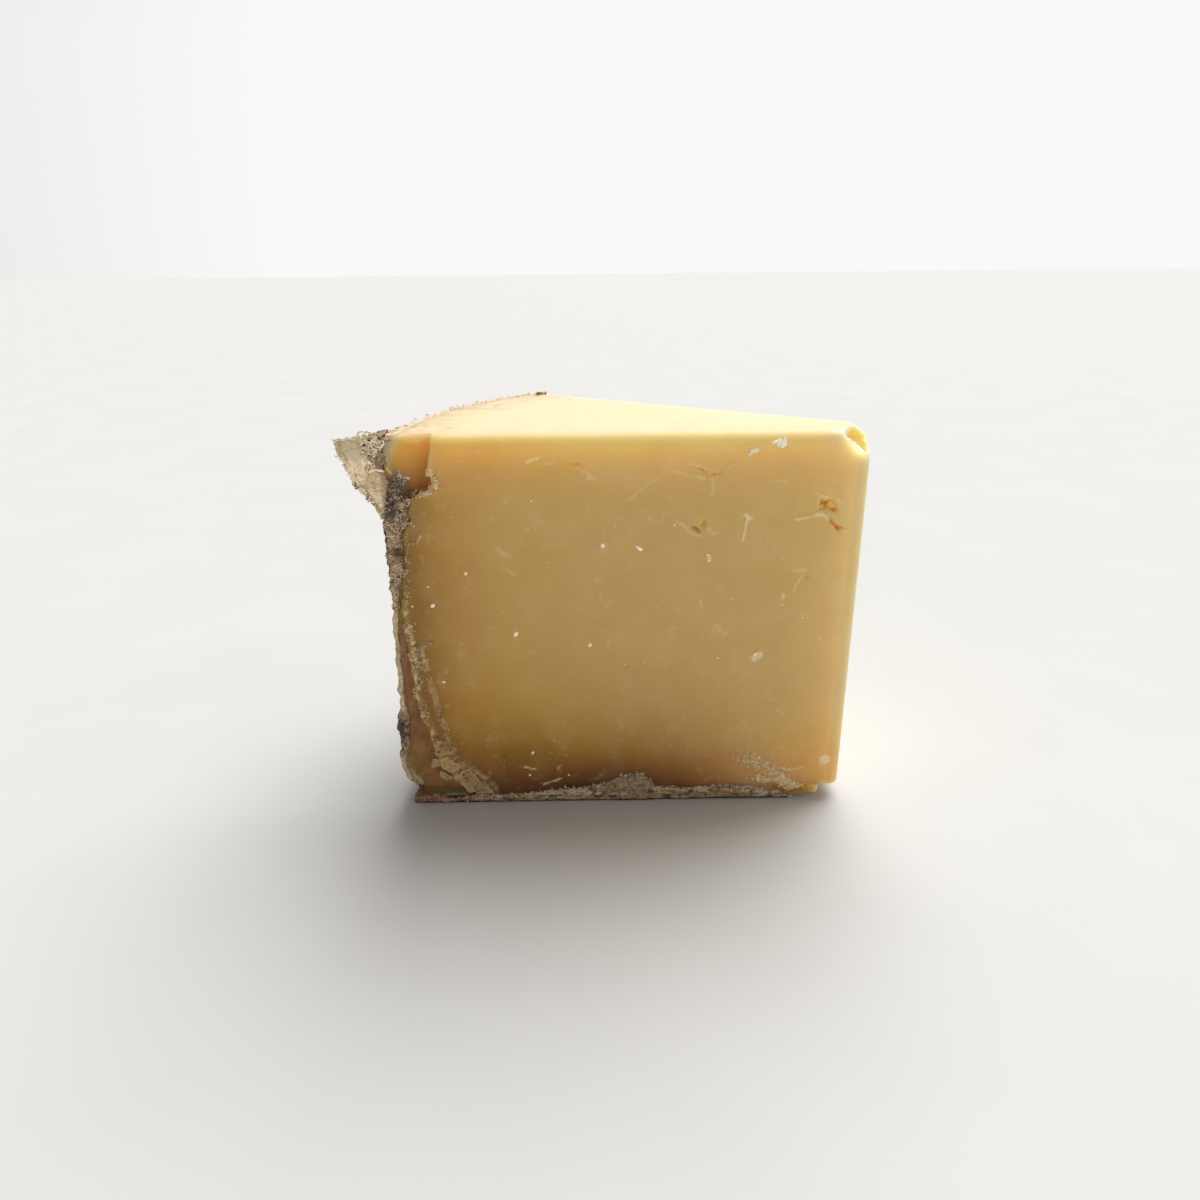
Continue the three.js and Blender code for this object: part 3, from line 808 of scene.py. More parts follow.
def rind_section(z, inset, columns):
    """The rind's path at one height: left along the front cut, round the wall, onto the back."""
    inner = line_x(RIND_EDGE, z) + 2 + 0.8 * inset
    more = read(STAND_MORE, z)
    x = blend(inner, left_edge(z, CORE) - more + inset, columns["front"])
    recess = front_recess(x, np.full_like(x, z))
    start = math.asin(min(0.5, recess[-1] / WHEEL_RADIUS))
    angle = blend(start, SECTOR, columns["wall"][1:])
    along = angle * WHEEL_RADIUS
    depth = along - start * WHEEL_RADIUS
    reach = CORE * flap_reach(z, depth) + more * fade(depth, 5)
    radius = WHEEL_RADIUS + wall_stand(z) + reach + SWELL * crag(along, z) - inset
    wall = wall_point(angle, radius)
    wall[-1] -= BACK_OUT * inset
    back = wall[-1] - BACK_ALONG * columns["back"][1:, None]
    ring = with_height(np.vstack([np.stack([x, recess + inset], -1), wall, back]), z)
    ring[:, 2] -= flap_drop(ring[:, 0], z)
    return ring


def rind_relief(points):
    """How high each point of the crumbly rind is, from a pit to the top of a crumb."""
    bent = points + 0.5 * np.stack([noise(points, 2.1, 200 + k) for k in range(3)], -1)
    crumbs = 1 - grains(bent, 1.15, 210) + 0.5 * (1 - grains(bent, 0.62, 220))
    pits = over(fractal(points, 1.9, 230, 3), 0.12, 0.35)
    return np.clip(0.62 * crumbs + 0.28 * fractal(points, 0.9, 240, 2) - 0.55 * pits, -0.2, 1.2)


def build_rind_wall(material):
    """Returns the rind's outer points, their outward directions, and where it shows."""
    columns = {
        "front": np.linspace(0, 1, 36),
        "wall": graded([(0, 0.3), (14, 0.36), (40, 0.55), (95, 0.6)]) / 95,
        "back": np.array([0, 0.5, 1, 1.6, 2.3, 3, 3.8]),
    }
    rows = [(z, 0) for z in graded([(0, 0.4), (STRAIGHT, 0.36)])] + rounded_top(5)
    outer_count = len(rows)
    rows += [(HEIGHT, TOP_ROUND + band) for band in TOP_BANDS]
    shown = len(rows)
    rows += [(z, INNER_INSET) for z in (106.5, 98, 85, 70, 55, 40, 25, 12, 2.2)] + [(0.6, 1.6)]
    grid = np.array([rind_section(z, inset, columns) for z, inset in rows])
    face = grid[:shown]
    normal = -normals_of(face)
    x, z = face[..., 0], face[..., 2]

    # Where the rind shows: beside its edge on the front cut, on the wall, and on bands at its rims
    in_front = np.zeros(face.shape[:2])
    in_front[:, :len(columns["front"])] = 1
    rim = np.zeros(face.shape[:2])
    rim[outer_count:] = np.array(TOP_BANDS)[:, None]
    back_along = np.zeros(face.shape[1])
    back_along[-len(columns["back"]) + 1:] = columns["back"][1:]
    ragged = fractal(face, 2.2, 250, 3)
    show = np.where(in_front > 0, rind_shows(x, z), 1)
    show = show * ease((1 + 1.6 * ragged - rim) / 0.4 + 0.5)
    show = show * ease((1.6 + 1.5 * ragged - back_along) / 0.4 + 0.5)

    share = rind_relief(face)
    chalky = in_front * under(z, 66, 4)
    smooth = chalky * (1 - under(z, 31, 3) * over(z, 13, 3))
    height = blend(0.02 + 0.62 * share, 0.1 + 0.22 * share, smooth) * (1 - 0.85 * (rim > 0))
    crumbly = over(z, 86, 6) * under(x, -61, 2) * in_front
    height = height + crumbly * 0.7 * fractal(face, 2.6, 251, 3)
    lift = (show * height - (1 - show) * 0.8) * ease(z / 1.2)
    face += normal * lift[..., None]
    grid[..., 2] = np.maximum(grid[..., 2], 0.05)

    row_count, column_count = grid.shape[:2]
    column, end = np.arange(column_count - 1), (row_count - 1) * column_count
    underside = np.stack([end + column, end + column + 1, column + 1, column], -1)
    faces = np.vstack([grid_faces(row_count, column_count, False), underside])[:, ::-1].tolist()
    faces += end_faces(row_count, column_count, 0, shown)
    far_end = end_faces(row_count, column_count, column_count - 1, shown)
    faces += [corners[::-1] for corners in far_end]
    colours = np.tile(BEIGE, (row_count, column_count, 1))
    colours[:shown] = rind_colours(face, share, in_front, chalky)
    make("cheese_rind_wall", grid, faces, "rind", material, colours)
    return face, normal, show


def end_faces(rows, columns, column, shown):
    """Closes one end of the rind: its outer rows are joined to its fewer inner rows."""
    inner = list(range(rows - 1, shown - 1, -1))
    faces = []
    at = 0
    for row in range(shown - 1):
        goal = int(row / (shown - 1) * (len(inner) - 1) + 0.5)
        faces.append([row, row + 1, inner[at]])
        while at < goal:
            faces.append([row + 1, inner[at + 1], inner[at]])
            at += 1
    while at < len(inner) - 1:
        faces.append([shown - 1, inner[at + 1], inner[at]])
        at += 1
    return [[row * columns + column for row in face] for face in faces]


def rind_colours(face, share, in_front, chalky):
    """Colours of the wall's rind; share is how high a point is between a pit and a crumb's top, and
    the colours follow it: painted shade in the pits, painted highlight on the crumbs' tops.
    """
    x, y, z = np.moveaxis(face, -1, 0)
    patches, blotch = fractal(face, 17, 261, 3), fractal(face, 5, 262, 3)
    outer = 1 - in_front

    # The crumbly band has dark brown painted shade in its gaps; below it the rind's edge is a smooth
    # pale line
    relief_shade = tint((0.07, 0.038, 0.020), (0.50, 0.34, 0.20), (share - 0.2) / 0.6)
    chalk = tint((0.36, 0.26, 0.14), (0.74, 0.62, 0.42), 0.35 + 0.7 * share)
    low = ease((31 - z) / 3 + 0.8 * blotch) * over(z, 13, 3)
    chalk = tint(chalk, tint((0.12, 0.055, 0.030), (0.64, 0.46, 0.30), share), low)

    # Its outer edge is painted blackish shade, and grey in one place; the top's rim is pale with dark
    # specks
    past_edge = left_edge(z, CORE) - x
    fading = ease(1 - (y - 0.5) / (1.6 + 1.5 * blotch))
    edge = np.maximum(ease((past_edge + 0.7) / 0.5) * in_front, outer * fading)
    grey = ease((past_edge + 0.6) / 0.6) * (in_front + outer * fading)
    rim_tint = tint((0.80, 0.62, 0.41), (0.30, 0.18, 0.10), under(share, 0.26, 0.2))
    mould = tint((0.012, 0.014, 0.02), (0.16, 0.15, 0.16), share)
    core_shade = tint((0.018, 0.011, 0.007), (0.15, 0.09, 0.045), share)
    in_flap = in_front * under(x, -61.3, 0.4)
    return layered(
        BLACKISH,
        (BROWN, (share + 0.05) / 0.3),
        (BEIGE, (share - 0.22) / 0.3),
        (CHALK, (share - 0.55) / 0.45),
        ((0.23, 0.19, 0.145), 0.55 * outer),
        ((0.34, 0.33, 0.29), 0.6 * outer * over(patches, 0.05, 0.3)),
        ((0.12, 0.085, 0.05), 0.6 * outer * under(patches, -0.1, 0.3)),
        ((0.42, 0.36, 0.27), 0.5 * outer * over(blotch, 0.2, 0.25)),
        (relief_shade, in_front * (1 - chalky)),
        (chalk, 0.95 * chalky),
        (rim_tint, 0.9 * over(z, 107.2, 1.2) * over(x, -66, 4)),
        (BLACKISH, 0.85 * edge * under(z, 88, 3) * over(z, 60, 3)),
        ((0.075, 0.075, 0.08), 0.85 * grey * under(z, 26.5, 1) * over(z, 19.5, 1)),
        (mould, 0.9 * in_front * spot(x, z, (-61.6, 90.2), 2.2, 1.2, 1.3)),
        ((0.10, 0.022, 0.008), 0.95 * in_front * spot(x, z, RED_PIT, 1.9, 0.8)),
        # Painted shade: the flap's core is near black between its curls, and brown under the cord
        # below it
        (core_shade, 0.97 * in_flap * over(z, 100.2, 0.6)),
        ((0.42, 0.22, 0.07), 0.9 * in_flap * over(z, 98.8, 0.5) * under(z, 100.4, 0.5)),
    )


# ---------------------------------------------------------------- the rind of the base

# Height of the base's rind on the front cut, as (x, height)
BASE_TOP = np.array([
    (-62.5, 2.2), (-56, 2.5), (-52, 1.5), (-47, 1.9), (-42, 2.7), (-36, 2.7), (-29, 2.9),
    (-24, 3.7), (-19, 4.6), (-10, 5), (-5.8, 6.4), (-1.2, 8.9), (3.9, 9.5), (7.2, 8.2),
    (8.8, 5), (17, 4), (22, 4.4), (36, 4.5), (40, 3.4), (44, 2.8), (47, 2.2), (48.5, 0.8),
])
BASE_END = 48.5
BASE_MIDDLE = np.array([-5.0, 32.0])


def base_top(x):
    """Height of the base's rind on the front cut, with the lump smeared above it."""
    rough = on_front(x, np.zeros_like(x))
    return read(BASE_TOP, x) + 0.45 * fractal(rough, 2.4, 301, 3) + 0.35 * fractal(rough, 0.9, 302, 2)


def smeared_lump(x, z):
    """1 in the middle of the lump above the base's rind, 0 from its edge on."""
    return np.maximum(0, 1 - ((x - 2.2) / 8.6) ** 2 - ((z - 4) / 6.2) ** 2)


def build_rind_base(material):
    """A slab under the paste with a crumbly rim: along the front, the nose, the back, the wall."""
    front_x = graded([(-61.6, 0.26), (BASE_END, 0.3)])
    front = np.stack([front_x, np.zeros_like(front_x)], -1)
    back_end = NOSE_BACK + BACK_ALONG * (NOSE_X - BASE_END) / abs(BACK_ALONG[0])
    across = blend(front[-1], back_end, np.linspace(0, 1, 30)[1:-1, None])
    across[:, 0] += 1.2 * fractal(with_height(across, 0), 3, 303, 3)
    back_length = np.linalg.norm(BACK_LEFT - back_end)
    back = back_end + BACK_ALONG * graded([(0, 0.5), (back_length - 1.2, 0.5)])[:, None]
    wall = wall_point(np.linspace(SECTOR, 0, 170)[1:-1], WHEEL_RADIUS)
    runs = (front, across, back, wall)
    outline = np.vstack(runs)
    run = np.repeat(range(4), [len(points) for points in runs])
    in_front, on_wall = run == 0, run == 3
    out = np.array([(0, -1), (1, 0), BACK_OUT, (0, 0)])[run]
    out[on_wall] = (wall - WHEEL_CENTRE) / WHEEL_RADIUS
    uneven = 3.6 + 0.8 * fractal(with_height(outline, 0), 3, 304, 3)
    top = np.where(in_front, base_top(outline[:, 0]), uneven)
    top[run == 1] = 2.4

    rings, relief = [], []
    for share in np.linspace(0, 1, 19):
        z = share * top
        points = with_height(outline + out * (wall_stand(z) * on_wall)[:, None], z)
        layers = points * (0.22, 0.5, 1.5) + 0.4 * noise(points, 3, 313)[:, None]
        crumbs = 0.8 * (1 - grains(points * (0.7, 1, 1.2), 0.9, 310))
        ledge = 0.75 * (1 - 2 * np.abs(fractal(layers, 1.5, 311, 3)))
        lump = smeared_lump(points[:, 0], z)
        height = blend(ledge, crumbs, ease(3 * lump)) + 0.25 * noise(points, 0.6, 312)
        proud = np.minimum(LUMP_PROUD, 0.08 + 0.3 * height + 0.5 * np.sqrt(lump) * in_front)
        proud -= 0.9 * over(share, 0.9, 0.1) + 0.35 * under(share, 0.12, 0.12)
        points[:, :2] += out * proud[:, None]
        rings.append(points)
        relief.append(height)

    # Above, it turns in over the paste's foot; below, it closes towards the middle of the floor
    rim = rings[-1]
    for pull, drop in ((0.6, 0.1), (2.0, 0.6)):
        z = np.maximum(0.6, np.minimum(rim[:, 2] - drop, 2.6))
        rings.append(with_height(rim[:, :2] - out * pull, z))

    def inward(ring, share):
        return with_height(blend(BASE_MIDDLE, ring[:, :2], share), ring[:, 2])

    foot = [inward(rings[0], share) for share in (0.3, 0.6, 0.85, 0.95, 0.985)]
    inner = [inward(rings[-1], share) for share in (0.6, 0.3)]
    points, faces = closed_stack(np.array(foot + rings + inner))
    known = np.concatenate([relief[0]] * len(foot) + relief)
    heights = np.pad(known, (0, len(points) - len(known)))
    make("cheese_rind_base", points, faces, "rind", material, base_colours(points, heights))


def base_colours(points, share):
    x, _, z = points.T
    streaky = fractal(points * (0.25, 0.5, 1.6), 1.3, 320, 3)
    fine = fractal(points * (0.7, 0.7, 1.3), 0.7, 323, 2)
    patches = fractal(points, 11, 321, 2)
    upper = over(z / np.maximum(1.5, base_top(x)), 0.3, 0.35)
    # Painted shade and highlight: the rind is darker in its pits and lighter on its crumbs, by share,
    # its height between a pit and a crumb's top
    highlight_and_grain = 0.8 * share + 0.4 * fine
    lump = under(np.abs(x - 2.2), 8.2, 2) * over(z, 3.4, 1.5)
    pale = tint((0.36, 0.27, 0.17), (0.74, 0.62, 0.46), 0.25 + highlight_and_grain)
    pale = tint(pale, (0.30, 0.22, 0.14), 0.7 * lump)
    return layered(
        (0.13, 0.075, 0.038),
        ((0.48, 0.33, 0.19), 0.3 + highlight_and_grain),
        (pale, ease((streaky + 0.45 * upper + 0.3 * share - 0.34) / 0.35)),
        ((0.06, 0.035, 0.022), 0.75 * over(fractal(points, 1.5, 322, 3), 0.22, 0.12)),
        ((0.36, 0.21, 0.10), 0.5 * over(patches, 0.1, 0.3)),
        ((0.24, 0.09, 0.045), 0.6 * ease((-35 - x + 8 * patches) / 10) * ease(0.5 + 2 * fine)),
        # Painted shade in the deepest pits, and a painted blackish shadow along the floor
        ((0.05, 0.035, 0.025), 0.8 * under(share, 0.02, 0.2)),
        ((0.012, 0.010, 0.009), 0.95 * ease((0.75 - z + 0.3 * streaky) / 0.4)),
    )


# ---------------------------------------------------------------- small shapes

def joined(name, parts, slot, material, smooth=True):
    """One piece out of many small closed shapes, each given as points, faces and a colour."""
    points, faces, colours, start = [], [], [], 0
    for part_points, part_faces, part_colour in parts:
        points.append(part_points)
        faces += [[corner + start for corner in face] for face in part_faces]
        colours.append(np.broadcast_to(part_colour, part_points.shape))
        start += len(part_points)
    points = np.vstack(points)
    points[:, 2] = np.maximum(points[:, 2], 0.02)
    make(name, points, faces, slot, material, np.vstack(colours), smooth)


def along_surface(out, draw):
    """Two directions along a surface, turned at random about its outward direction."""
    side = np.cross(out, draw.normal(size=3))
    side /= np.linalg.norm(side)
    return side, np.cross(out, side)


def ball_shape(level):
    """Points and triangles of a ball, as fine as the level."""
    ball = bmesh.new()
    bmesh.ops.create_icosphere(ball, subdivisions=level, radius=1.0)
    points = np.array([vertex.co[:] for vertex in ball.verts])
    faces = [[vertex.index for vertex in face.verts] for face in ball.faces]
    ball.free()
    return points, faces


def spread_out(places, out, sizes, colours):
    """A place, an outward direction, a size and a colour for each shape."""
    count = len(places)
    return zip(places, np.broadcast_to(out, (count, 3)), sizes, np.broadcast_to(colours, (count, 3)))


def lumps(places, out, sizes, colours, seed, level=1, flat=0.7, rough=0.5):
    """Small uneven lumps, each sunk a little into what it lies on."""
    ball, triangles = ball_shape(level)
    draw = np.random.default_rng(seed)
    parts = []
    each = spread_out(places, out, sizes, colours)
    for number, (place, out, size, colour) in enumerate(each):
        side, other = along_surface(out, draw)
        stretch = size * np.array([draw.uniform(0.8, 1.5), draw.uniform(0.6, 1.0), flat])
        bumps = 1 + rough * noise(ball + 17.3 * number, 0.9, seed + 3)[:, None]
        turned = (ball * bumps * stretch) @ np.stack([side, other, out])
        shade = 1 + 0.12 * noise(ball + 5.1 * number, 0.7, seed + 4)[:, None]
        parts.append((turned + place + out * size * flat * 0.35, triangles, colour * shade))
    return parts


def flakes(places, out, sizes, colours, seed):
    """Thin angular flakes with sharp rims, which lean a little off what they lie on."""
    draw = np.random.default_rng(seed)
    thick, corners = 0.28, 8
    faces = []
    for corner in range(corners):
        after = (corner + 1) % corners
        faces.append([corner, after, after + corners, corner + corners])
        faces.append([corner + corners, after + corners, 2 * corners + 1])
        faces.append([after, corner, 2 * corners])
    parts = []
    for place, out, size, colour in spread_out(places, out, sizes, colours):
        side, other = along_surface(out, draw)
        angle = np.arange(corners) * 2 * math.pi / corners + draw.normal(0, 0.2, corners)
        reach = size * draw.uniform(0.55, 1.2, corners)
        u = reach * np.cos(angle) * draw.uniform(1.0, 1.6)
        v = reach * np.sin(angle) * draw.uniform(0.6, 1.0)
        lean_u, lean_v = draw.normal(0, 0.3, 2)
        high = np.maximum(0.08 * size, size * thick + lean_u * u + lean_v * v)
        rim = np.stack([u, v, np.full(corners, -0.25 * size)], -1)
        crown = np.stack([0.88 * u, 0.88 * v, high], -1)
        middle = [(0, 0, -0.25 * size), (0, 0, size * thick * draw.uniform(0.7, 1.3))]
        shape = np.vstack([rim, crown, middle]) @ np.stack([side, other, out]) + place
        # The rim and middle under a flake are darker: painted shade
        shade = [np.full(corners, 0.8), draw.uniform(0.85, 1.15, corners), [0.8, 1.0]]
        parts.append((shape, faces, colour * np.concatenate(shade)[:, None]))
    return parts


def sweep(path, radius, first, second, turn):
    """Rings about a path, with the outward direction of each of their points."""
    out = np.cos(turn)[:, None] * first[:, None, :] + np.sin(turn)[:, None] * second[:, None, :]
    return path[:, None, :] + radius[:, None, None] * out, out


def across_path(path, aside):
    """Two directions across a path at each of its points; the first is at right angles to aside."""
    ahead = np.gradient(path, axis=0)
    ahead /= np.linalg.norm(ahead, axis=1, keepdims=True)
    side = np.cross(ahead, aside)
    side /= np.linalg.norm(side, axis=1, keepdims=True)
    return side, np.cross(ahead, side)


def tube(path, radius, sides=5, ribbon=1.0):
    """A closed tube along a path, thin at its ends; ribbon is how flat its section is."""
    side, other = across_path(path, (0.31, 0.87, 0.38))
    count = np.arange(len(path))
    thin = radius * np.minimum(1, 0.35 + np.minimum(count, count[::-1]))
    turn = np.arange(sides) * 2 * math.pi / sides
    return closed_stack(sweep(path, thin, side, other / ribbon, turn)[0])


def arc(middle, radius, first, sweep_angle, tilt, count):
    """Points of a curl: part of a circle in a tilted plane, opened out a little along its axis."""
    angle = first + np.linspace(0, sweep_angle, count)
    flat = np.stack([np.cos(angle), 0.25 * np.linspace(-1, 1, count), np.sin(angle)], -1) * radius
    c, s = math.cos(tilt), math.sin(tilt)
    return flat @ np.array([[1, 0, 0], [0, c, s], [0, -s, c]]) + middle


def curls(draw, middles, reach, thick, colours, sides=5, ribbon=1.0, tilt=0.8, count=8):
    """Curls about the middles; reach and thick give the least and the most of their radii."""
    parts = []
    for middle, colour in zip(middles, colours):
        path = arc(middle, draw.uniform(*reach), draw.uniform(0, 2 * math.pi),
                   draw.uniform(1.4, 4.4), draw.uniform(-tilt, tilt), count)
        points, faces = tube(path, draw.uniform(*thick), sides, ribbon)
        parts.append((points, faces, colour * draw.uniform(0.85, 1.15)))
    return parts


def slab(outline, thick, colour, seed):
    """A flat flake with a given outline on the front cut, ragged at its rim."""
    draw = np.random.default_rng(seed)
    corners = np.array(outline)
    ahead = np.roll(corners, -1, axis=0)
    rim = np.concatenate([blend(corners, ahead, share) for share in (0, 0.25, 0.5, 0.75)], 1)
    rim = rim.reshape(-1, 2) + draw.normal(0, 0.22, (4 * len(corners), 2))

    # Each ring's share of the outline, its place behind the front cut, and its brightness; the darker
    # rings at its foot are painted shade under its edge
    levels = ((0.92, 1.2, 0.5), (1, 0.1, 0.6), (0.97, -thick, 1.5), (0.85, -thick, 1.15),
              (0.6, -thick, 0.95), (0.3, -thick, 1.0))
    rings, tones = [], []
    for share, y, tone in levels:
        x, z = blend(rim.mean(0), rim, share).T
        rough = 0.28 * fractal(on_front(x, z), 1.2, seed, 2) * (y < 0)
        rings.append(np.stack([x, y - rough, z], -1))
        tones += [tone] * len(rim)
    points, faces = closed_stack(np.array(rings))
    shade = 1 + 0.35 * fractal(points * (1.6, 1, 0.7), 0.9, seed + 1, 3)
    return points, faces, np.asarray(colour) * (shade * (tones + [0.5, 0.95]))[:, None]


def scattered(draw, line, count, spread, size, low=0, high=1):
    """Places (x, z) along a line on the front cut, and a size for each."""
    line = np.array(line)
    reach = run_length(line)
    at = draw.uniform(low, high, count) * reach[-1]
    x = np.interp(at, reach, line[:, 0]) + draw.normal(0, spread, count)
    z = np.interp(at, reach, line[:, 1]) + draw.normal(0, 0.6 * spread, count)
    return x, z, draw.gamma(3.0, size / 3, count).clip(0.08, 3 * size)


def picked(draw, weight, count):
    """Numbers of points, drawn at random by weight, no point twice."""
    chance = (weight / weight.sum()).ravel()
    return draw.choice(len(chance), size=count, replace=False, p=chance)


def sunk(x, z):
    """Points a little in front of the front cut with its relief."""
    return np.stack([x, front_recess(x, z) - 0.05, z], -1)


# ---------------------------------------------------------------- crystals and crumbs

# White crystals of the front cut: place, half size
CRYSTALS = [
    (-5.9, 79.5, 0.62), (3.7, 78.8, 0.7), (-9.8, 50.8, 0.62), (-30.2, 54.4, 0.45),
    (-42.8, 72.2, 0.42), (-52.4, 63.1, 0.42), (-51.1, 40, 0.34), (26, 46.3, 0.32),
    (-26.9, 16.6, 0.35), (-28.1, 9.1, 0.3), (-16.6, 8.9, 0.3), (-53.3, 68.6, 0.3),
    (36.6, 47.3, 0.55), (37.9, 47.6, 0.35), (22.1, 76.6, 0.4), (22.5, 75.2, 0.45),
    (10.5, 63.5, 0.2), (29, 64, 0.22), (48.9, 58, 0.22), (-45.5, 88, 0.22),
    (-58, 63, 0.3), (-55.6, 85.6, 0.24), (13, 85, 0.25), (-2, 54, 0.2),
    (44, 29.5, 0.2), (43, 62, 0.25), (-24.5, 92, 0.25), (59, 12, 0.15),
]
# White crumbs under the top edge: outline on the front cut, thickness, colour
WHITE_CRUMBS = [
    ([(37.3, 106.3), (38, 107), (39.5, 107.5), (41.3, 107.1), (41, 105.8), (39.7, 105.3),
      (38.6, 105.9)], 0.5, (0.95, 0.86, 0.66)),
    ([(30.9, 103.6), (31.9, 104.6), (33.9, 105.1), (34.2, 104.6), (32.9, 103.8), (31.5, 103.3)],
     0.12, (0.8, 0.62, 0.36)),
]


def build_crystals(material):
    """White crystals in the cut faces."""
    draw = np.random.default_rng(20)
    rows = [(x, 0.02, z, size) for x, z, size in CRYSTALS]
    for _ in range(90):
        x, z = draw.uniform(-54, 58), draw.uniform(7, 104)
        rows.append((x, 0.03, z, draw.uniform(0.07, 0.17)))
    fronts = len(rows)
    for _ in range(60):
        along, z = draw.uniform(6, 108), draw.uniform(8, 103)
        size = draw.choice([0.1, 0.14, 0.2, 0.45], p=[0.4, 0.3, 0.2, 0.1])
        rows.append((*(NOSE_BACK + BACK_ALONG * along), z, size))
    rows = np.array(rows)
    outs = np.tile(FRONT_OUT, (len(rows), 1))
    outs[fronts:] = (*BACK_OUT, 0)
    parts = lumps(rows[:, :3], outs, rows[:, 3], (1.0, 0.93, 0.76), 410, 2, 0.45, 0.7)
    for number, (outline, thick, colour) in enumerate(WHITE_CRUMBS):
        parts.append(slab(outline, thick, colour, 415 + 7 * number))
    joined("cheese_crystals", parts, "cheese", material)


# Large flakes torn loose beside the ridge: outline on the front cut, thickness, paleness
SLABS = [
    ([(-50.5, 8.8), (-48.2, 6.2), (-46.5, 3.6), (-43.3, 3.4), (-38.8, 3.3), (-41, 6.1),
      (-43.1, 7.6), (-44.5, 10.1), (-46.2, 12), (-49.1, 10.2)], 0.3, 0.45),
    ([(-53.9, 12.8), (-53.1, 11.7), (-51, 10.6), (-49.1, 11.3), (-48, 12.7), (-49.8, 14.2),
      (-52.4, 16), (-54.1, 14.3)], 0.55, 0.7),
    ([(-54.2, 8.5), (-52.4, 7.8), (-50.8, 8.1), (-51.4, 9.2), (-53.1, 10.7), (-54.7, 11.1)],
     0.25, 0.45),
    ([(-56.7, 12.5), (-54.5, 12.8), (-54.4, 14.3), (-55.6, 15.4), (-56.5, 14.7)], 0.25, 0.6),
]
# Broken edges of the front cut, as lines with: flakes, curls, lumps, spread, size, paleness,
# and the part of the line they are on
TORN_EDGES = (
    (RIDGE + np.array([0.7, 0.0]), 110, 420, 60, 0.85, 0.26, 0.52, 0.36, 1),
    (RIDGE + np.array([0.7, 0.0]), 20, 70, 40, 0.45, 0.18, 0.35, 0.10, 0.38),
    (TEAR, 40, 160, 30, 0.55, 0.20, 0.40, 0, 1),
    (((-56.5, 14), (-50.5, 9.5), (-46.5, 4.5)), 50, 110, 20, 1.5, 0.28, 0.45, 0, 1),
    (((-56.6, 92.2), (-55.6, 93.8), (-54, 93.6), (-51.9, 94.4), (-49.8, 95.7), (-48.6, 97.4)),
     50, 60, 20, 0.40, 0.24, 0.70, 0, 1),
    (((-48.7, 97.6), (-49.6, 99.2), (-49.9, 101)), 12, 12, 8, 0.25, 0.20, 0.75, 0, 1),
    (((34.5, 13.5), (37.5, 11.6), (41.5, 9), (45.5, 7), (48.8, 4)),
     24, 330, 12, 1.6, 0.27, 1.20, 0, 1),
    (((38, 6), (41.5, 4.2), (45, 5.2), (49, 3.6), (52.5, 2.6)), 20, 190, 14, 0.9, 0.25, 1.20, 0, 1),
)
# Round beads in the crumbly patch at the base's right end: x, z, radius
BEADS = ((46.1, 9.3, 1.05), (41.2, 5.9, 0.6), (36.6, 12.5, 0.35))


def build_torn_crumbs(material):
    """Flakes, curls and crumbs of paste along the broken edges of the front cut."""
    draw = np.random.default_rng(470)
    parts = []
    for number, (line, *counts, spread, size, paleness, low, high) in enumerate(TORN_EDGES):
        for kind, count in enumerate(counts):
            x, z, sizes = scattered(draw, line, count, spread, size, low, high)
            points = sunk(x, z)
            points[:, 2] += paste_lift(points)
            colours = tint((0.24, 0.12, 0.04), TORN, paleness + draw.normal(0, 0.33, count))
            colours = deepened(colours, 0.35 * under(z, 40, 30) * under(x, 20, 20))
            seed = 480 + 10 * number + kind
            if kind == 0:
                parts += flakes(points, FRONT_OUT, 1.5 * sizes, colours, seed)
            elif kind == 1:
                parts += curls(draw, points, (0.6 * size, 2.6 * size), (0.05, 0.14), colours)
            else:
                parts += lumps(points, FRONT_OUT, sizes, colours, seed, flat=0.55, rough=0.7)
    for number, (outline, thick, paleness) in enumerate(SLABS):
        colour = np.array((0.47, 0.31, 0.115)) * (0.7 + 0.45 * paleness)
        parts.append(slab(outline, thick, colour, 570 + 5 * number))
    parts += back_crumbs(draw)
    for x, z, radius in BEADS:
        ring = arc((x, -0.05, z), radius, 0, 6.1, 0, 17)
        ring[:, 1] = -0.05
        parts.append((*tube(ring, 0.13), (1.0, 0.86, 0.60)))
    joined("cheese_torn_crumbs", parts, "cheese", material, smooth=False)


def back_crumbs(draw):
    """Torn paste on the back cut: beside the rind of the base and of the wall, and at a few tears."""
    end = np.linalg.norm(BACK_LEFT - NOSE_BACK)
    groups = (
        (((24, 4.4), (60, 4.9), (end - 4, 4.6)), 260, 0.55, 0.20),
        (((end - 2, 5), (end - 1.4, 40), (end - 1.9, 106)), 230, 0.7, 0.20),
        (((30, 88), (33, 86.4), (35.2, 86.9)), 26, 0.35, 0.22),
        (((71, 61), (73.4, 58.2)), 22, 0.35, 0.20),
        (((48, 30), (52.5, 31.4), (54, 33.5)), 26, 0.35, 0.20),
    )
    out = (*BACK_OUT, 0)
    parts = []
    for number, (line, count, spread, size) in enumerate(groups):
        along, z, sizes = scattered(draw, line, count, spread, size)
        points = with_height(NOSE_BACK + BACK_ALONG * along[:, None] + 0.05 * BACK_OUT, z)
        colours = tint((0.34, 0.20, 0.09), (0.82, 0.62, 0.36), 0.5 + draw.normal(0, 0.3, count))
        half = count // 2
        parts += flakes(points[:half], out, 1.4 * sizes[:half], colours[:half], 610 + number)
        parts += curls(draw, points[half:], (0.15, 0.45), (0.05, 0.12), colours[half:])
    return parts


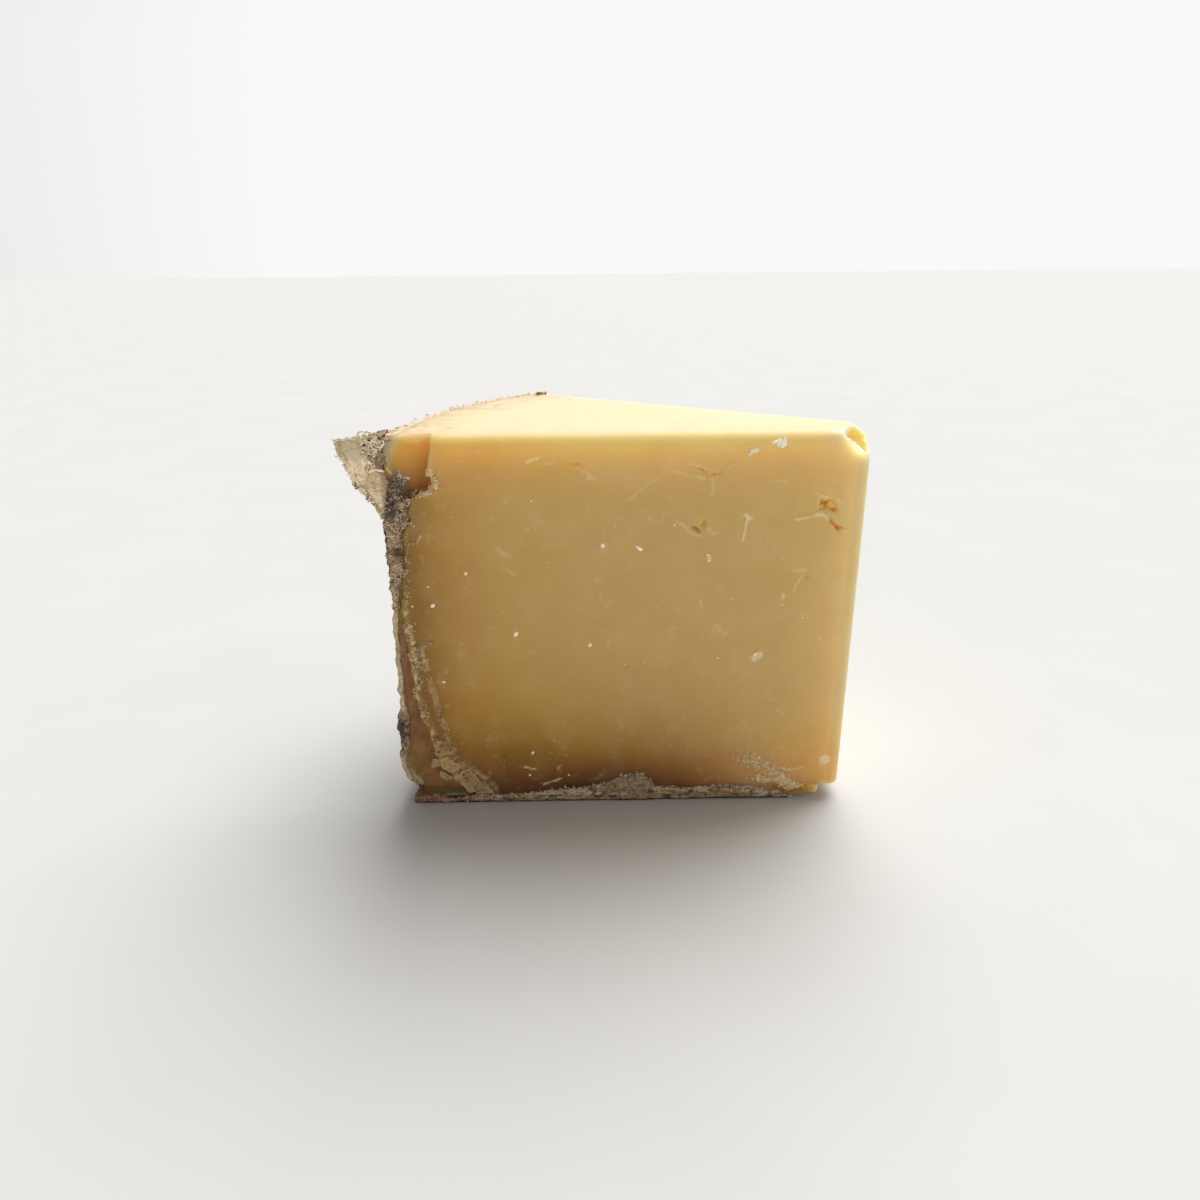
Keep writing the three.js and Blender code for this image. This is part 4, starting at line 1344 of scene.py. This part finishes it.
# Dark crumbs that hang on the flap's lower edge: x, z, size
DARK_CRUMBS = (
    (-69.9, 97.1, 0.5), (-69.5, 96.3, 0.55), (-68.9, 95.8, 0.5), (-68.2, 95, 0.45),
    (-67.3, 94.4, 0.4), (-67, 93.4, 0.4), (-66.2, 92.6, 0.4), (-65.4, 91.4, 0.35),
    (-64.8, 90.2, 0.4),
)


def build_rind_crumbs(material, grid, normal, show):
    """Crumbs of rind on the crumbly band, in the flap and round the rims; mould in the notch."""
    draw = np.random.default_rng(420)
    near_band = (grid[..., 1] < 3) & (grid[..., 2] > 62)
    count = 600
    chosen = picked(draw, (show > 0.9) * np.where(near_band, 1.0, 0.05), count)
    sizes = draw.gamma(3.0, 0.08, size=count).clip(0.12, 0.6)
    tone = 1.6 * draw.uniform(0, 1, size=count)
    colours = layered(BROWN, (BEIGE, tone), (CHALK, tone - 0.7))
    parts = lumps(grid.reshape(-1, 3)[chosen], normal.reshape(-1, 3)[chosen], sizes, colours, 421,
                  flat=0.75, rough=0.6)

    # Grey mould in the notch's corner, white at its upper right, thin towards its rim
    tries, most = 1400, 330
    x, z = draw.uniform(-62.4, -56.0, tries), draw.uniform(91.5, 100.6, tries)
    right, up = x + 59.2, z - 96.6
    away = np.hypot((0.5 * right + 0.87 * up) / 3.6, (0.87 * right - 0.5 * up) / 1.9)
    keep = away + 0.8 * fractal(on_front(x, z), 1.7, 424, 3) < draw.uniform(0.25, 1.05, tries)
    x, z = x[keep][:most], z[keep][:most]
    count = len(x)
    grey = tint((0.08, 0.058, 0.040), (0.70, 0.58, 0.45), draw.beta(1.0, 1.1, count))
    grey = tint(grey, (1.0, 0.86, 0.70), 0.85 * over(x, -59.4, 2) * over(z, 96.6, 1.5))
    third = count // 3
    first, second, last = slice(third), slice(third, 2 * third), slice(2 * third, count)
    points = sunk(x, z)
    parts += lumps(points[first], FRONT_OUT, draw.uniform(0.1, 0.28, third), grey[first], 422)
    parts += flakes(points[second], FRONT_OUT, draw.uniform(0.15, 0.4, third), grey[second], 423)
    parts += curls(draw, points[last], (0.25, 0.8), (0.04, 0.09), 1.3 * grey[last])

    for x, z, size in DARK_CRUMBS:
        places = np.array([(x, 0.6, z)]) + draw.normal(0, 0.3, (7, 3))
        dark = tint((0.03, 0.03, 0.02), (0.42, 0.30, 0.17), draw.uniform(0, 1, 7))
        parts += lumps(places, FRONT_OUT, draw.uniform(0.4, 1.0, 7) * size, dark, int(-100 * x))
    joined("cheese_rind_crumbs", parts, "rind", material)


def build_rind_curls(material, grid, normal, show):
    """The lacy crust: curls of dry rind on the crumbly band and along the base's top edge."""
    draw = np.random.default_rng(430)
    x, y, z = np.moveaxis(grid, -1, 0)
    inside = (show > 0.85) & (y < 2) & (x > left_edge(z, CORE) + 0.5)
    weight = 1.0 * (inside & (z > 61) & (z < 93)) + 0.8 * (inside & (z > 14) & (z < 31))
    weight += 0.05 * ((z > 107.4) & (y > 2) & (show > 0.8))
    count, long_ones = 1150, 500
    chosen = picked(draw, weight, count)
    points = grid.reshape(-1, 3)[chosen] + 0.12 * normal.reshape(-1, 3)[chosen]
    x, z = points[:, 0], points[:, 2]
    colours = layered(
        (0.26, 0.15, 0.08),
        ((0.98, 0.78, 0.56), draw.beta(1.3, 1.0, count)),
        ((0.03, 0.03, 0.04), 0.85 * spot(x, z, (-61.6, 90), 2.4, 1, 1.4)),
        ((0.13, 0.03, 0.012), 0.92 * spot(x, z, RED_PIT, 1.9, 0.7)),
    )
    colours = tint(colours, colours * (0.85, 0.72, 0.62), under(z, 32, 2))
    parts = curls(draw, points[:long_ones], (0.3, 0.8), (0.07, 0.16), colours[:long_ones])
    parts += curls(draw, points[long_ones:], (0.15, 0.4), (0.05, 0.11), colours[long_ones:], count=7)

    # Along the base's top edge: curls, then flakes
    count, curled = 620, 400
    x = draw.uniform(-60.5, 50.0, count)
    fall = draw.exponential(0.55, count).clip(0, 2.4)
    z = np.maximum(0.5, base_top(x) + 0.25 - fall)
    lump = smeared_lump(x, z)
    y = -0.3 - 0.45 * np.sqrt(lump) - 0.15 * draw.uniform(0, 1, count)
    points = np.stack([x, y, z], -1)
    tone = draw.beta(1.3, 1.0, count) * (1 - 0.35 * ease(2 * lump))
    colours = tint((0.16, 0.08, 0.04), (0.92, 0.74, 0.53), tone)
    colours = tint(colours, colours * (0.9, 0.62, 0.55), under(x, -38, 8))
    parts += curls(draw, points[:curled], (0.15, 0.45), (0.05, 0.12), colours[:curled], count=7)
    sizes = draw.uniform(0.15, 0.42, count - curled)
    parts += flakes(points[curled:], FRONT_OUT, sizes, colours[curled:], 431)
    joined("cheese_rind_curls", parts, "rind", material)


# ---------------------------------------------------------------- the cloth of the flap

# Left and right edge of the cloth on the front cut, as (height, x)
CLOTH_TIP = np.array([
    (94.8, -68), (95.7, -68.9), (97, -69.8), (99.2, -70.7), (101.4, -71.6), (103.9, -72.5),
    (105.8, -73.4), (107.5, -73.7), (109.5, -74.1),
])
CLOTH_ROOT = np.array([
    (94.8, -66.6), (96, -67), (97.6, -66.8), (99.4, -66.2), (101.6, -65.6), (103.9, -65.4),
    (106.5, -66.7), (109.5, -67.4),
])
WEAVE = 0.80           # distance between threads
ROLL_WEAVE = 0.74      # and where the cloth is rolled up


def build_cloth(material):
    """What is left of the cloth: it makes the flap's thin edge and ends behind it on the wall."""
    heights = graded([(94.8, 0.15), (HEIGHT - 0.2, 0.15)])
    tip_share = np.linspace(0, 1, 72)
    steps_behind = np.linspace(0, 1, 78)[1:]
    rows = []
    for z in heights:
        behind = steps_behind * (11.5 + 3.5 * noise(np.array([0.0, 0.0, z]), 2.6, 438))
        tip = read(CLOTH_TIP, z)
        root = max(read(CLOTH_ROOT, z), tip + 0.8)
        y = 0.55 - 0.8 * np.sin(math.pi * tip_share ** 0.7)
        y[:6] += np.linspace(1.6, 0, 6)
        front = np.stack([blend(root, tip, tip_share), y], -1)
        reach = flap_reach(z, behind) - (tip - left_edge(z)) * fade(behind, 5)
        radius = WHEEL_RADIUS + wall_stand(z) + reach + SWELL * crag(behind, z) + 0.3
        wall = wall_point((behind + 0.6) / WHEEL_RADIUS, radius)
        inside = blend(wall[-1] + (2.0, -1.0), front[0] + (0.6, 1.5),
                       np.linspace(0, 1, 7)[:, None])
        ring = with_height(np.vstack([front, wall, inside]), z)
        ring[:, 2] -= flap_drop(ring[:, 0], z)
        rows.append(ring)
    grid = np.array(rows)
    across, up = run_length(grid), grid[..., 2]
    flat = np.stack([across, up, np.zeros_like(up)], -1)
    warp = 0.30 * noise(flat, 2.8, 431)
    weave = 0.6 * wave(up + 0.55 * across + warp, WEAVE) + 0.4 * wave(across - 0.25 * up + warp, WEAVE)
    crease = ease(1 - np.abs(fractal(flat * (0.7, 1.2, 1), 3.0, 436, 3)) / 0.10)
    folds = 0.45 * fractal(flat * (1, 0.5, 1), 3.2, 432, 3)
    clear = 1 - 0.85 * over(up, 100.5, 4)
    lift = folds + 0.13 * weave * clear + 0.16 * fractal(flat, 0.8, 433, 2) - 0.22 * crease
    lift[:, len(tip_share) + len(steps_behind):] = 0
    dirt = fractal(flat, 2.0, 435, 3)
    grid = grid - normals_of(grid) * lift[..., None]
    ragged = 0.9 * (over(heights, 105, 4) + under(heights, 97, 2))[:, None]
    grid[..., 2] += fractal(grid, 1.1, 434, 2) * ragged

    # Olive stains above; brown stains, and brown painted shade in the creases; a dark painted shade
    # along the flap's turned edge; old brown cloth behind it
    length = (read(CLOTH_ROOT, heights) - read(CLOTH_TIP, heights))[:, None]
    edge = ease(1 - np.abs(across - length - 0.2) / 0.6)
    old = ease((across - length - 1 + 3 * dirt) / 6)
    weave_gap_shade = ease(0.55 + 1.3 * fractal(flat, 2.2, 437, 2))
    colours = layered(
        CLOTH,
        ((0.46, 0.42, 0.25), 0.85 * ease((up - 102.5 + 1.5 * dirt) / 3)),
        ((0.42, 0.26, 0.12), 0.65 * crease + 0.30 * ease(dirt / 0.5)),
        ((0.20, 0.11, 0.05), 0.75 * edge * ease(0.4 + 2 * dirt)),
        ((0.36, 0.28, 0.18), (0.65 + 0.3 * dirt) * old),
    )
    # Painted shade between the threads of the weave, in patches
    colours = colours * (1 - 0.26 * weave_gap_shade * clear * (1 - weave))[..., None]
    make_cloth("cheese_cloth", grid, material, colours)


def make_cloth(name, rings, material, colours):
    """A piece of cloth, closed at both ends."""
    colours = np.vstack([colours.reshape(-1, 3), [CLOTH, CLOTH]])
    make(name, *closed_stack(rings), "rind", material, colours)


# The rolled end of the cloth: middle of each section, then its radius
FOLD = np.array([
    (-64.2, 1.3, 100.3, 0.6), (-64.2, 1.7, 99.4, 1.9), (-64.5, 2.1, 97.9, 2.8),
    (-64.7, 2.2, 96.3, 2.9), (-64.6, 2, 94.9, 2.5), (-64.3, 1.6, 93.2, 2),
    (-63.9, 1.2, 91.8, 1.4), (-63.6, 0.9, 90, 0.9), (-63.3, 0.7, 88.4, 0.25),
])


def build_fold(material):
    """The cloth is rolled up under the flap and drawn down to a point against the wall."""
    path = resampled(FOLD, 120)
    smoothed = [np.convolve(np.pad(column, 5, mode="edge"), np.full(11, 1 / 11), "valid")
                for column in path.T]
    middle, radius = np.stack(smoothed[:3], -1), smoothed[3]
    turn = np.linspace(0, 2 * math.pi, 97)[:-1]
    rings, away = sweep(middle, radius, *across_path(middle, (0, 1, 0)), turn)
    warp = 0.40 * fractal(rings, 3.0, 441, 2)
    slant = run_length(middle)[:, None] - 0.5 * np.cos(turn) * radius[:, None]
    thread = wave(slant + warp, ROLL_WEAVE) * ease(0.75 + 1.2 * fractal(rings, 1.1, 442, 2))
    rough = fractal(rings, 2.2, 440, 3)
    crease = ease(1 - np.abs(fractal(rings * (0.8, 1, 1.6), 2.4, 443, 2)) / 0.12)
    relief = (0.16 * thread + 0.55 * rough - 0.25 * crease) * np.minimum(1, radius)[:, None]
    rings = rings + away * relief[..., None]
    # Painted light and shade: the threads' ridges are painted pale and their grooves and creases dark,
    # the roll's right side gets a painted shadow, and its lower part is darker in the grooves
    shade = 0.60 + 0.50 * thread + 0.3 * rough - 0.5 * crease
    colours = layered(
        (0.40, 0.28, 0.15),
        (CLOTH, shade),
        ((0.20, 0.10, 0.04), 0.8 * over(np.cos(turn), 0.35, 0.5)),
        ((0.20, 0.16, 0.10), 0.6 * under(rings[..., 2], 93, 4) * (1 - shade)),
    )
    make_cloth("cheese_cloth_fold", rings, material, colours)


# Threads along the cloth's torn edges: line, count, shift, spread, radii of the curls, their
# thickness, paleness, and whether the line sinks with the flap
THREADED = (
    (CLOTH_TIP[:, ::-1], 90, 0, 0.35, (0.2, 0.5), (0.05, 0.1), 0.5, True),
    (((-73.9, 108), (-71, 108.6), (-67.6, 109)), 90, 0, 0.2, (0.2, 0.5), (0.05, 0.1), 0.6, False),
    (((-69.6, 96.3), (-68.4, 95.2), (-67.4, 94.3)),
     40, 0.1, 0.25, (0.2, 0.45), (0.06, 0.12), 0.35, False),
    (((-67.5, 95.6), (-66.4, 93), (-65.3, 91.4), (-64.4, 89.4), (-63.4, 88.2)),
     110, 0, 0.3, (0.2, 0.5), (0.06, 0.14), 0.4, False),
)
# The thick thread across the foot of the flap's core
CORD_LINE = np.array([
    (-65.7, -0.5, 100.1), (-65.0, -0.9, 100.7), (-64.2, -1.0, 101.0), (-63.4, -1.0, 100.9),
    (-62.6, -0.8, 100.7), (-61.8, -0.4, 100.3),
])


def build_threads(material):
    """Ribbons of rind in the flap's core, and loops of thread along the cloth's torn edges."""
    draw = np.random.default_rng(450)

    # The core: curled ribbons, pale on a dark ground, whose small dark curls are painted shade between
    # them, sparser and darker low on its right
    count, big = 185, 62
    z = draw.uniform(100.6, 109.6, count)
    x = draw.uniform(read(CLOTH_ROOT, z) - 0.3, -61.9)
    sparse = (x > -64.6) & (z < 104.6) & (draw.uniform(0, 1, count) < 0.6)
    middles = np.stack([x, draw.uniform(-0.3, 0.4, count), z], -1)[~sparse]
    middles[:big, 1] -= 0.5
    colours = tint((0.30, 0.18, 0.08), (1.0, 0.90, 0.70), draw.beta(2.2, 1.0, len(middles)))
    colours[big:] *= 0.28
    gap_shade = over(middles[:, 0], -63.7, 0.7) * under(middles[:, 2], 105.8, 0.6)
    colours *= 1 - 0.7 * gap_shade[:, None]
    parts = curls(draw, middles[:big], (0.6, 1.6), (0.16, 0.34), colours[:big], 6, 1.9, 1.0, 10)
    parts += curls(draw, middles[big:], (0.25, 0.7), (0.07, 0.15), colours[big:], 5, 1.3, 1.0)
    count = 60
    ranges = ((-64.6, -61.9), (-0.4, 0.2), (101.2, 104.6))
    fibres = np.stack([draw.uniform(low, high, count) for low, high in ranges], -1)
    brown = tint((0.16, 0.08, 0.035), (0.55, 0.38, 0.22), draw.uniform(0, 1, count))
    parts += curls(draw, fibres, (0.3, 1.2), (0.05, 0.10), brown, tilt=1.0)
    points, faces = tube(resampled(CORD_LINE, 16), 0.34, 8)
    parts.append((points + 0.12 * noise(points, 0.6, 451)[:, None], faces, (1.0, 0.88, 0.66)))
    specks = np.array([(-65.2, -0.9, 103.0), (-64.9, -0.8, 102.5)])
    parts += lumps(specks, FRONT_OUT, (0.5, 0.35), (1.0, 0.95, 0.85), 452)

    for line, count, shift, wide, reach, thick, paleness, sinks in THREADED:
        x, z, _ = scattered(draw, line, count, wide, 0.3)
        z = z - flap_drop(x, z) * sinks
        middles = np.stack([x + 0.3 + shift, draw.uniform(-0.3, 1.0, count), z], -1)
        tone = paleness + draw.normal(0, 0.3, count)
        colours = tint((0.30, 0.20, 0.11), (0.97, 0.85, 0.64), tone)
        parts += curls(draw, middles, reach, thick, colours, tilt=1.2)

    # Loose threads on the roll
    count = 90
    z = draw.uniform(89.5, 99.5, count)
    x, y, radius = (np.interp(z, FOLD[::-1, 2], FOLD[::-1, column]) for column in (0, 1, 3))
    turn = draw.uniform(-2.9, -0.7, count)
    middles = np.stack([x + radius * np.cos(turn), y + radius * np.sin(turn), z], -1)
    colours = tint((0.40, 0.28, 0.15), (1.0, 0.88, 0.66), draw.uniform(0, 1, count))
    parts += curls(draw, middles, (0.25, 0.7), (0.05, 0.10), colours, tilt=1.2)
    joined("cheese_threads", parts, "rind", material)


# ---------------------------------------------------------------- materials

def add_node(tree, kind, inputs=()):
    """Adds a node; each input is its name or number and a value, a colour or an output."""
    node = tree.nodes.new("ShaderNode" + kind)
    fill(tree, node, inputs)
    return node


def fill(tree, node, inputs):
    """Sets or links a node's inputs."""
    for key, value in inputs:
        socket = node.inputs[key]
        if isinstance(value, bpy.types.NodeSocket):
            tree.links.new(value, socket)
        elif socket.type == "RGBA":
            socket.default_value = (*value, 1.0)
        else:
            socket.default_value = value


def noise_node(tree, size_mm, detail, roughness, stretch=(1, 1, 1)):
    """Noise over the object's own coordinates, stretched."""
    here = add_node(tree, "TexCoord").outputs["Object"]
    place = add_node(tree, "Mapping", [("Vector", here), ("Scale", stretch)]).outputs["Vector"]
    node = add_node(tree, "TexNoise", [
        ("Vector", place), ("Scale", 1000 / size_mm), ("Detail", detail), ("Roughness", roughness),
    ])
    return node.outputs["Fac"]


def ranged(tree, value, low, high, to_low, to_high):
    """A value's range drawn out to another range, and held at its ends."""
    node = add_node(tree, "MapRange", [
        ("Value", value), ("From Min", low), ("From Max", high), ("To Min", to_low),
        ("To Max", to_high),
    ])
    return node.outputs["Result"]


def mixed(tree, share, a, b, kind="MIX"):
    """Mixes two colours, each a socket or a colour."""
    node = tree.nodes.new("ShaderNodeMix")
    node.data_type = "RGBA"
    node.blend_type = kind
    fill(tree, node, [(0, share), (6, a), (7, b)])
    return node.outputs[2]


def surface(name, noises, coats, roughness, bumps, inputs, base=None):
    """A material with coats over the piece's own colours, or over a base colour.

    A noise is its size in mm, detail and roughness. A coat is the number of its noise, the range
    in which it comes in, how much of it there is at most, and its colour. The roughness is a
    noise, its range, and the least and the most. A bump is a noise, strength, and depth in mm.
    """
    material = bpy.data.materials.new(name)
    material.use_nodes = True
    tree = material.node_tree
    tree.nodes.clear()
    noises = [noise_node(tree, *noise) for noise in noises]
    colour = base
    if base is None:
        own = tree.nodes.new("ShaderNodeAttribute")
        own.attribute_name = "tint"
        colour = own.outputs["Color"]
    for number, low, high, most, coat, *kind in coats:
        share = ranged(tree, noises[number], low, high, 0, most)
        colour = mixed(tree, share, colour, coat, *kind)
    inputs = {"Base Color": colour, **inputs}
    if roughness:
        number, *ranges = roughness
        inputs["Roughness"] = ranged(tree, noises[number], *ranges)
    for number, strength, depth_mm in bumps:
        before = [("Normal", inputs["Normal"])] if "Normal" in inputs else []
        bump = add_node(tree, "Bump", [
            ("Height", noises[number]), ("Strength", strength), ("Distance", depth_mm / 1000),
            *before,
        ])
        inputs["Normal"] = bump.outputs["Normal"]
    shader = add_node(tree, "BsdfPrincipled", inputs.items())
    add_node(tree, "OutputMaterial", [("Surface", shader.outputs["BSDF"])])
    return material


def shreds(name, painted_glow):
    """Dry shreds of rind or thread, with a painted glow for the light that comes through them from
    behind.
    """
    return surface(
        name, [(0.25, 3, 0.6), (1.6, 2, 0.5)],
        [(0, 0.5, 0.75, 0.2, (0.98, 0.82, 0.56)), (1, 0.5, 0.3, 0.35, (0.22, 0.12, 0.05))],
        (0, 0.3, 0.7, 0.6, 0.9), [(0, 0.4, 0.1)],
        {"Specular IOR Level": 0.25, "Emission Color": (1, 0.76, 0.48), "Emission Strength": painted_glow},
    )


def paste_material():
    return surface(
        "cheese_paste",
        [(9, 3, 0.5), (3.2, 2, 0.5), (0.45, 3, 0.6), (1.6, 3, 0.6, (0.12, 1, 0.5))],
        [(0, 0.45, 0.7, 0.1, (0.93, 0.74, 0.40)), (0, 0.5, 0.25, 0.12, (0.66, 0.40, 0.12)),
         (1, 0.62, 0.76, 0.22, (0.92, 0.76, 0.46)), (2, 0.35, 0.75, 0.06, (0.96, 0.84, 0.56))],
        (1, 0.3, 0.7, 0.44, 0.6), [(2, 0.1, 0.12), (3, 0.26, 0.25)],
        {"Subsurface Weight": 1.0, "Subsurface Radius": (1.0, 0.76, 0.32),
         "Subsurface Scale": SCATTER_MM / 1000, "Specular IOR Level": 0.35},
    )


def rind_material():
    # The fine noise that raises the bumps also paints them: a painted highlight on their tops and
    # painted shade in their hollows
    return surface(
        "cheese_rind", [(0.5, 4, 0.65), (6, 3, 0.55)],
        [(0, 0.45, 0.75, 0.8, (2.1, 1.95, 1.8), "MULTIPLY"),
         (0, 0.48, 0.25, 0.6, (0.06, 0.04, 0.025)), (1, 0.55, 0.75, 0.1, (0.46, 0.38, 0.29))],
        (0, 0.3, 0.7, 0.78, 0.95), [(0, 0.5, 0.25)], {"Specular IOR Level": 0.2},
    )


def cloth_material():
    # Painted glow: the emission stands in for light coming through the thin cloth
    return surface(
        "cheese_cloth", [(0.35, 4, 0.7), (3.5, 3, 0.55)],
        [(0, 0.5, 0.8, 0.35, (0.97, 0.88, 0.70)), (1, 0.55, 0.8, 0.3, (0.40, 0.27, 0.14))],
        (0, 0.3, 0.7, 0.85, 0.98), [(0, 0.5, 0.2)],
        {"Specular IOR Level": 0.15, "Emission Color": (1.0, 0.80, 0.54), "Emission Strength": 0.13},
    )


def crystal_material():
    # Painted glow: the emission makes the crystals brighter than the light on them allows
    return surface(
        "cheese_crystal", [(0.3, 3, 0.6)], [(0, 0.4, 0.7, 0.5, (1.0, 0.95, 0.80))],
        (0, 0.3, 0.7, 0.45, 0.7), [(0, 0.3, 0.1)],
        {"Emission Color": (1.0, 0.90, 0.66), "Emission Strength": 0.16},
    )


def floor_material():
    return surface(
        "studio_floor", [(60, 2, 0.5)], [(0, 0.3, 0.7, 1, (0.69, 0.69, 0.685))], None, [],
        {"Roughness": 0.9, "Specular IOR Level": 0.1}, base=(0.67, 0.67, 0.665),
    )


# ---------------------------------------------------------------- camera, light and floor

LENS_MM = 25.5
CAMERA_AT = np.array([-8.786, -216.092, 147.146])
PITCH, YAW, ROLL = (math.radians(angle) for angle in (21.008, 0.512, -0.600))
SUN_FROM = np.array([0.35, 0.62, 1.0])
FLOOR_REACH = 300.0


def linked(name, data):
    """A new object in the scene."""
    thing = bpy.data.objects.new(name, data)
    bpy.context.scene.collection.objects.link(thing)
    return thing


def aim(thing, axes, at=(0, 0, 0)):
    """Turns a thing so that its x, y and z point along the axes, and moves it to a place."""
    matrix = np.eye(4)
    matrix[:3, :3] = np.transpose(axes)
    matrix[:3, 3] = at
    thing.matrix_world = Matrix(matrix.tolist())


def build_camera():
    level = math.cos(PITCH)
    forward = np.array([math.sin(YAW) * level, math.cos(YAW) * level, -math.sin(PITCH)])
    right = np.array([math.cos(YAW), -math.sin(YAW), 0.0])
    up = np.cross(right, forward)
    camera = bpy.data.cameras.new("camera")
    camera.lens = LENS_MM
    camera.sensor_width = 36.0
    camera.clip_start = 0.01
    holder = linked("camera", camera)
    c, s = math.cos(ROLL), math.sin(ROLL)
    aim(holder, (c * right + s * up, c * up - s * right, -forward), put(CAMERA_AT)[0])
    bpy.context.scene.camera = holder


def build_light():
    """A soft key from above, behind and to the right; a world that is dim above the front."""
    sun = bpy.data.lights.new("key", "SUN")
    sun.energy = 3.2
    sun.angle = math.radians(50)
    sun.color = (1.0, 0.985, 0.95)
    back = SUN_FROM / np.linalg.norm(SUN_FROM)
    side = np.cross([0, 0, 1.0], back)
    side /= np.linalg.norm(side)
    aim(linked("key", sun), (side, np.cross(back, side), back))

    world = bpy.data.worlds.new("studio")
    bpy.context.scene.world = world
    world.use_nodes = True
    tree = world.node_tree
    around = add_node(tree, "TexCoord").outputs["Generated"]
    parts = add_node(tree, "SeparateXYZ", [("Vector", around)])
    facing = tree.nodes.new("ShaderNodeVectorMath")
    facing.operation = "DOT_PRODUCT"
    fill(tree, facing, [(0, around), (1, (0.62, 0.78, 0.0))])
    behind = ranged(tree, facing.outputs["Value"], -0.1, 0.55, 0, 1)
    high = ranged(tree, parts.outputs["Z"], 0.2, 0.55, 0, 1)
    front_sky = mixed(tree, high, (0.66, 0.65, 0.64), (0.10, 0.10, 0.10))
    sky = mixed(tree, behind, front_sky, (0.95, 0.95, 0.95))
    fill(tree, tree.nodes["Background"], [("Color", sky), ("Strength", 1.0)])


def build_floor():
    mesh = bpy.data.meshes.new("floor")
    signs = ((-1, -1), (1, -1), (1, 1), (-1, 1))
    mesh.from_pydata([(FLOOR_REACH * x, FLOOR_REACH * y, 0) for x, y in signs], [], [(0, 1, 2, 3)])
    floor = linked("floor", mesh)
    floor.data.materials.append(floor_material())


bpy.context.scene.view_settings.view_transform = "Standard"
bpy.context.scene.view_settings.look = "None"
build_camera()
build_light()
build_floor()
rind, cloth = rind_material(), cloth_material()
build_paste(paste_material())
wall = build_rind_wall(rind)
build_rind_base(rind)
build_crystals(crystal_material())
build_torn_crumbs(shreds("cheese_paste_crumbs", 0.03))
build_rind_crumbs(rind, *wall)
build_rind_curls(shreds("cheese_crust", 0.03), *wall)
build_cloth(cloth)
build_fold(cloth)
build_threads(shreds("cheese_thread", 0.09))
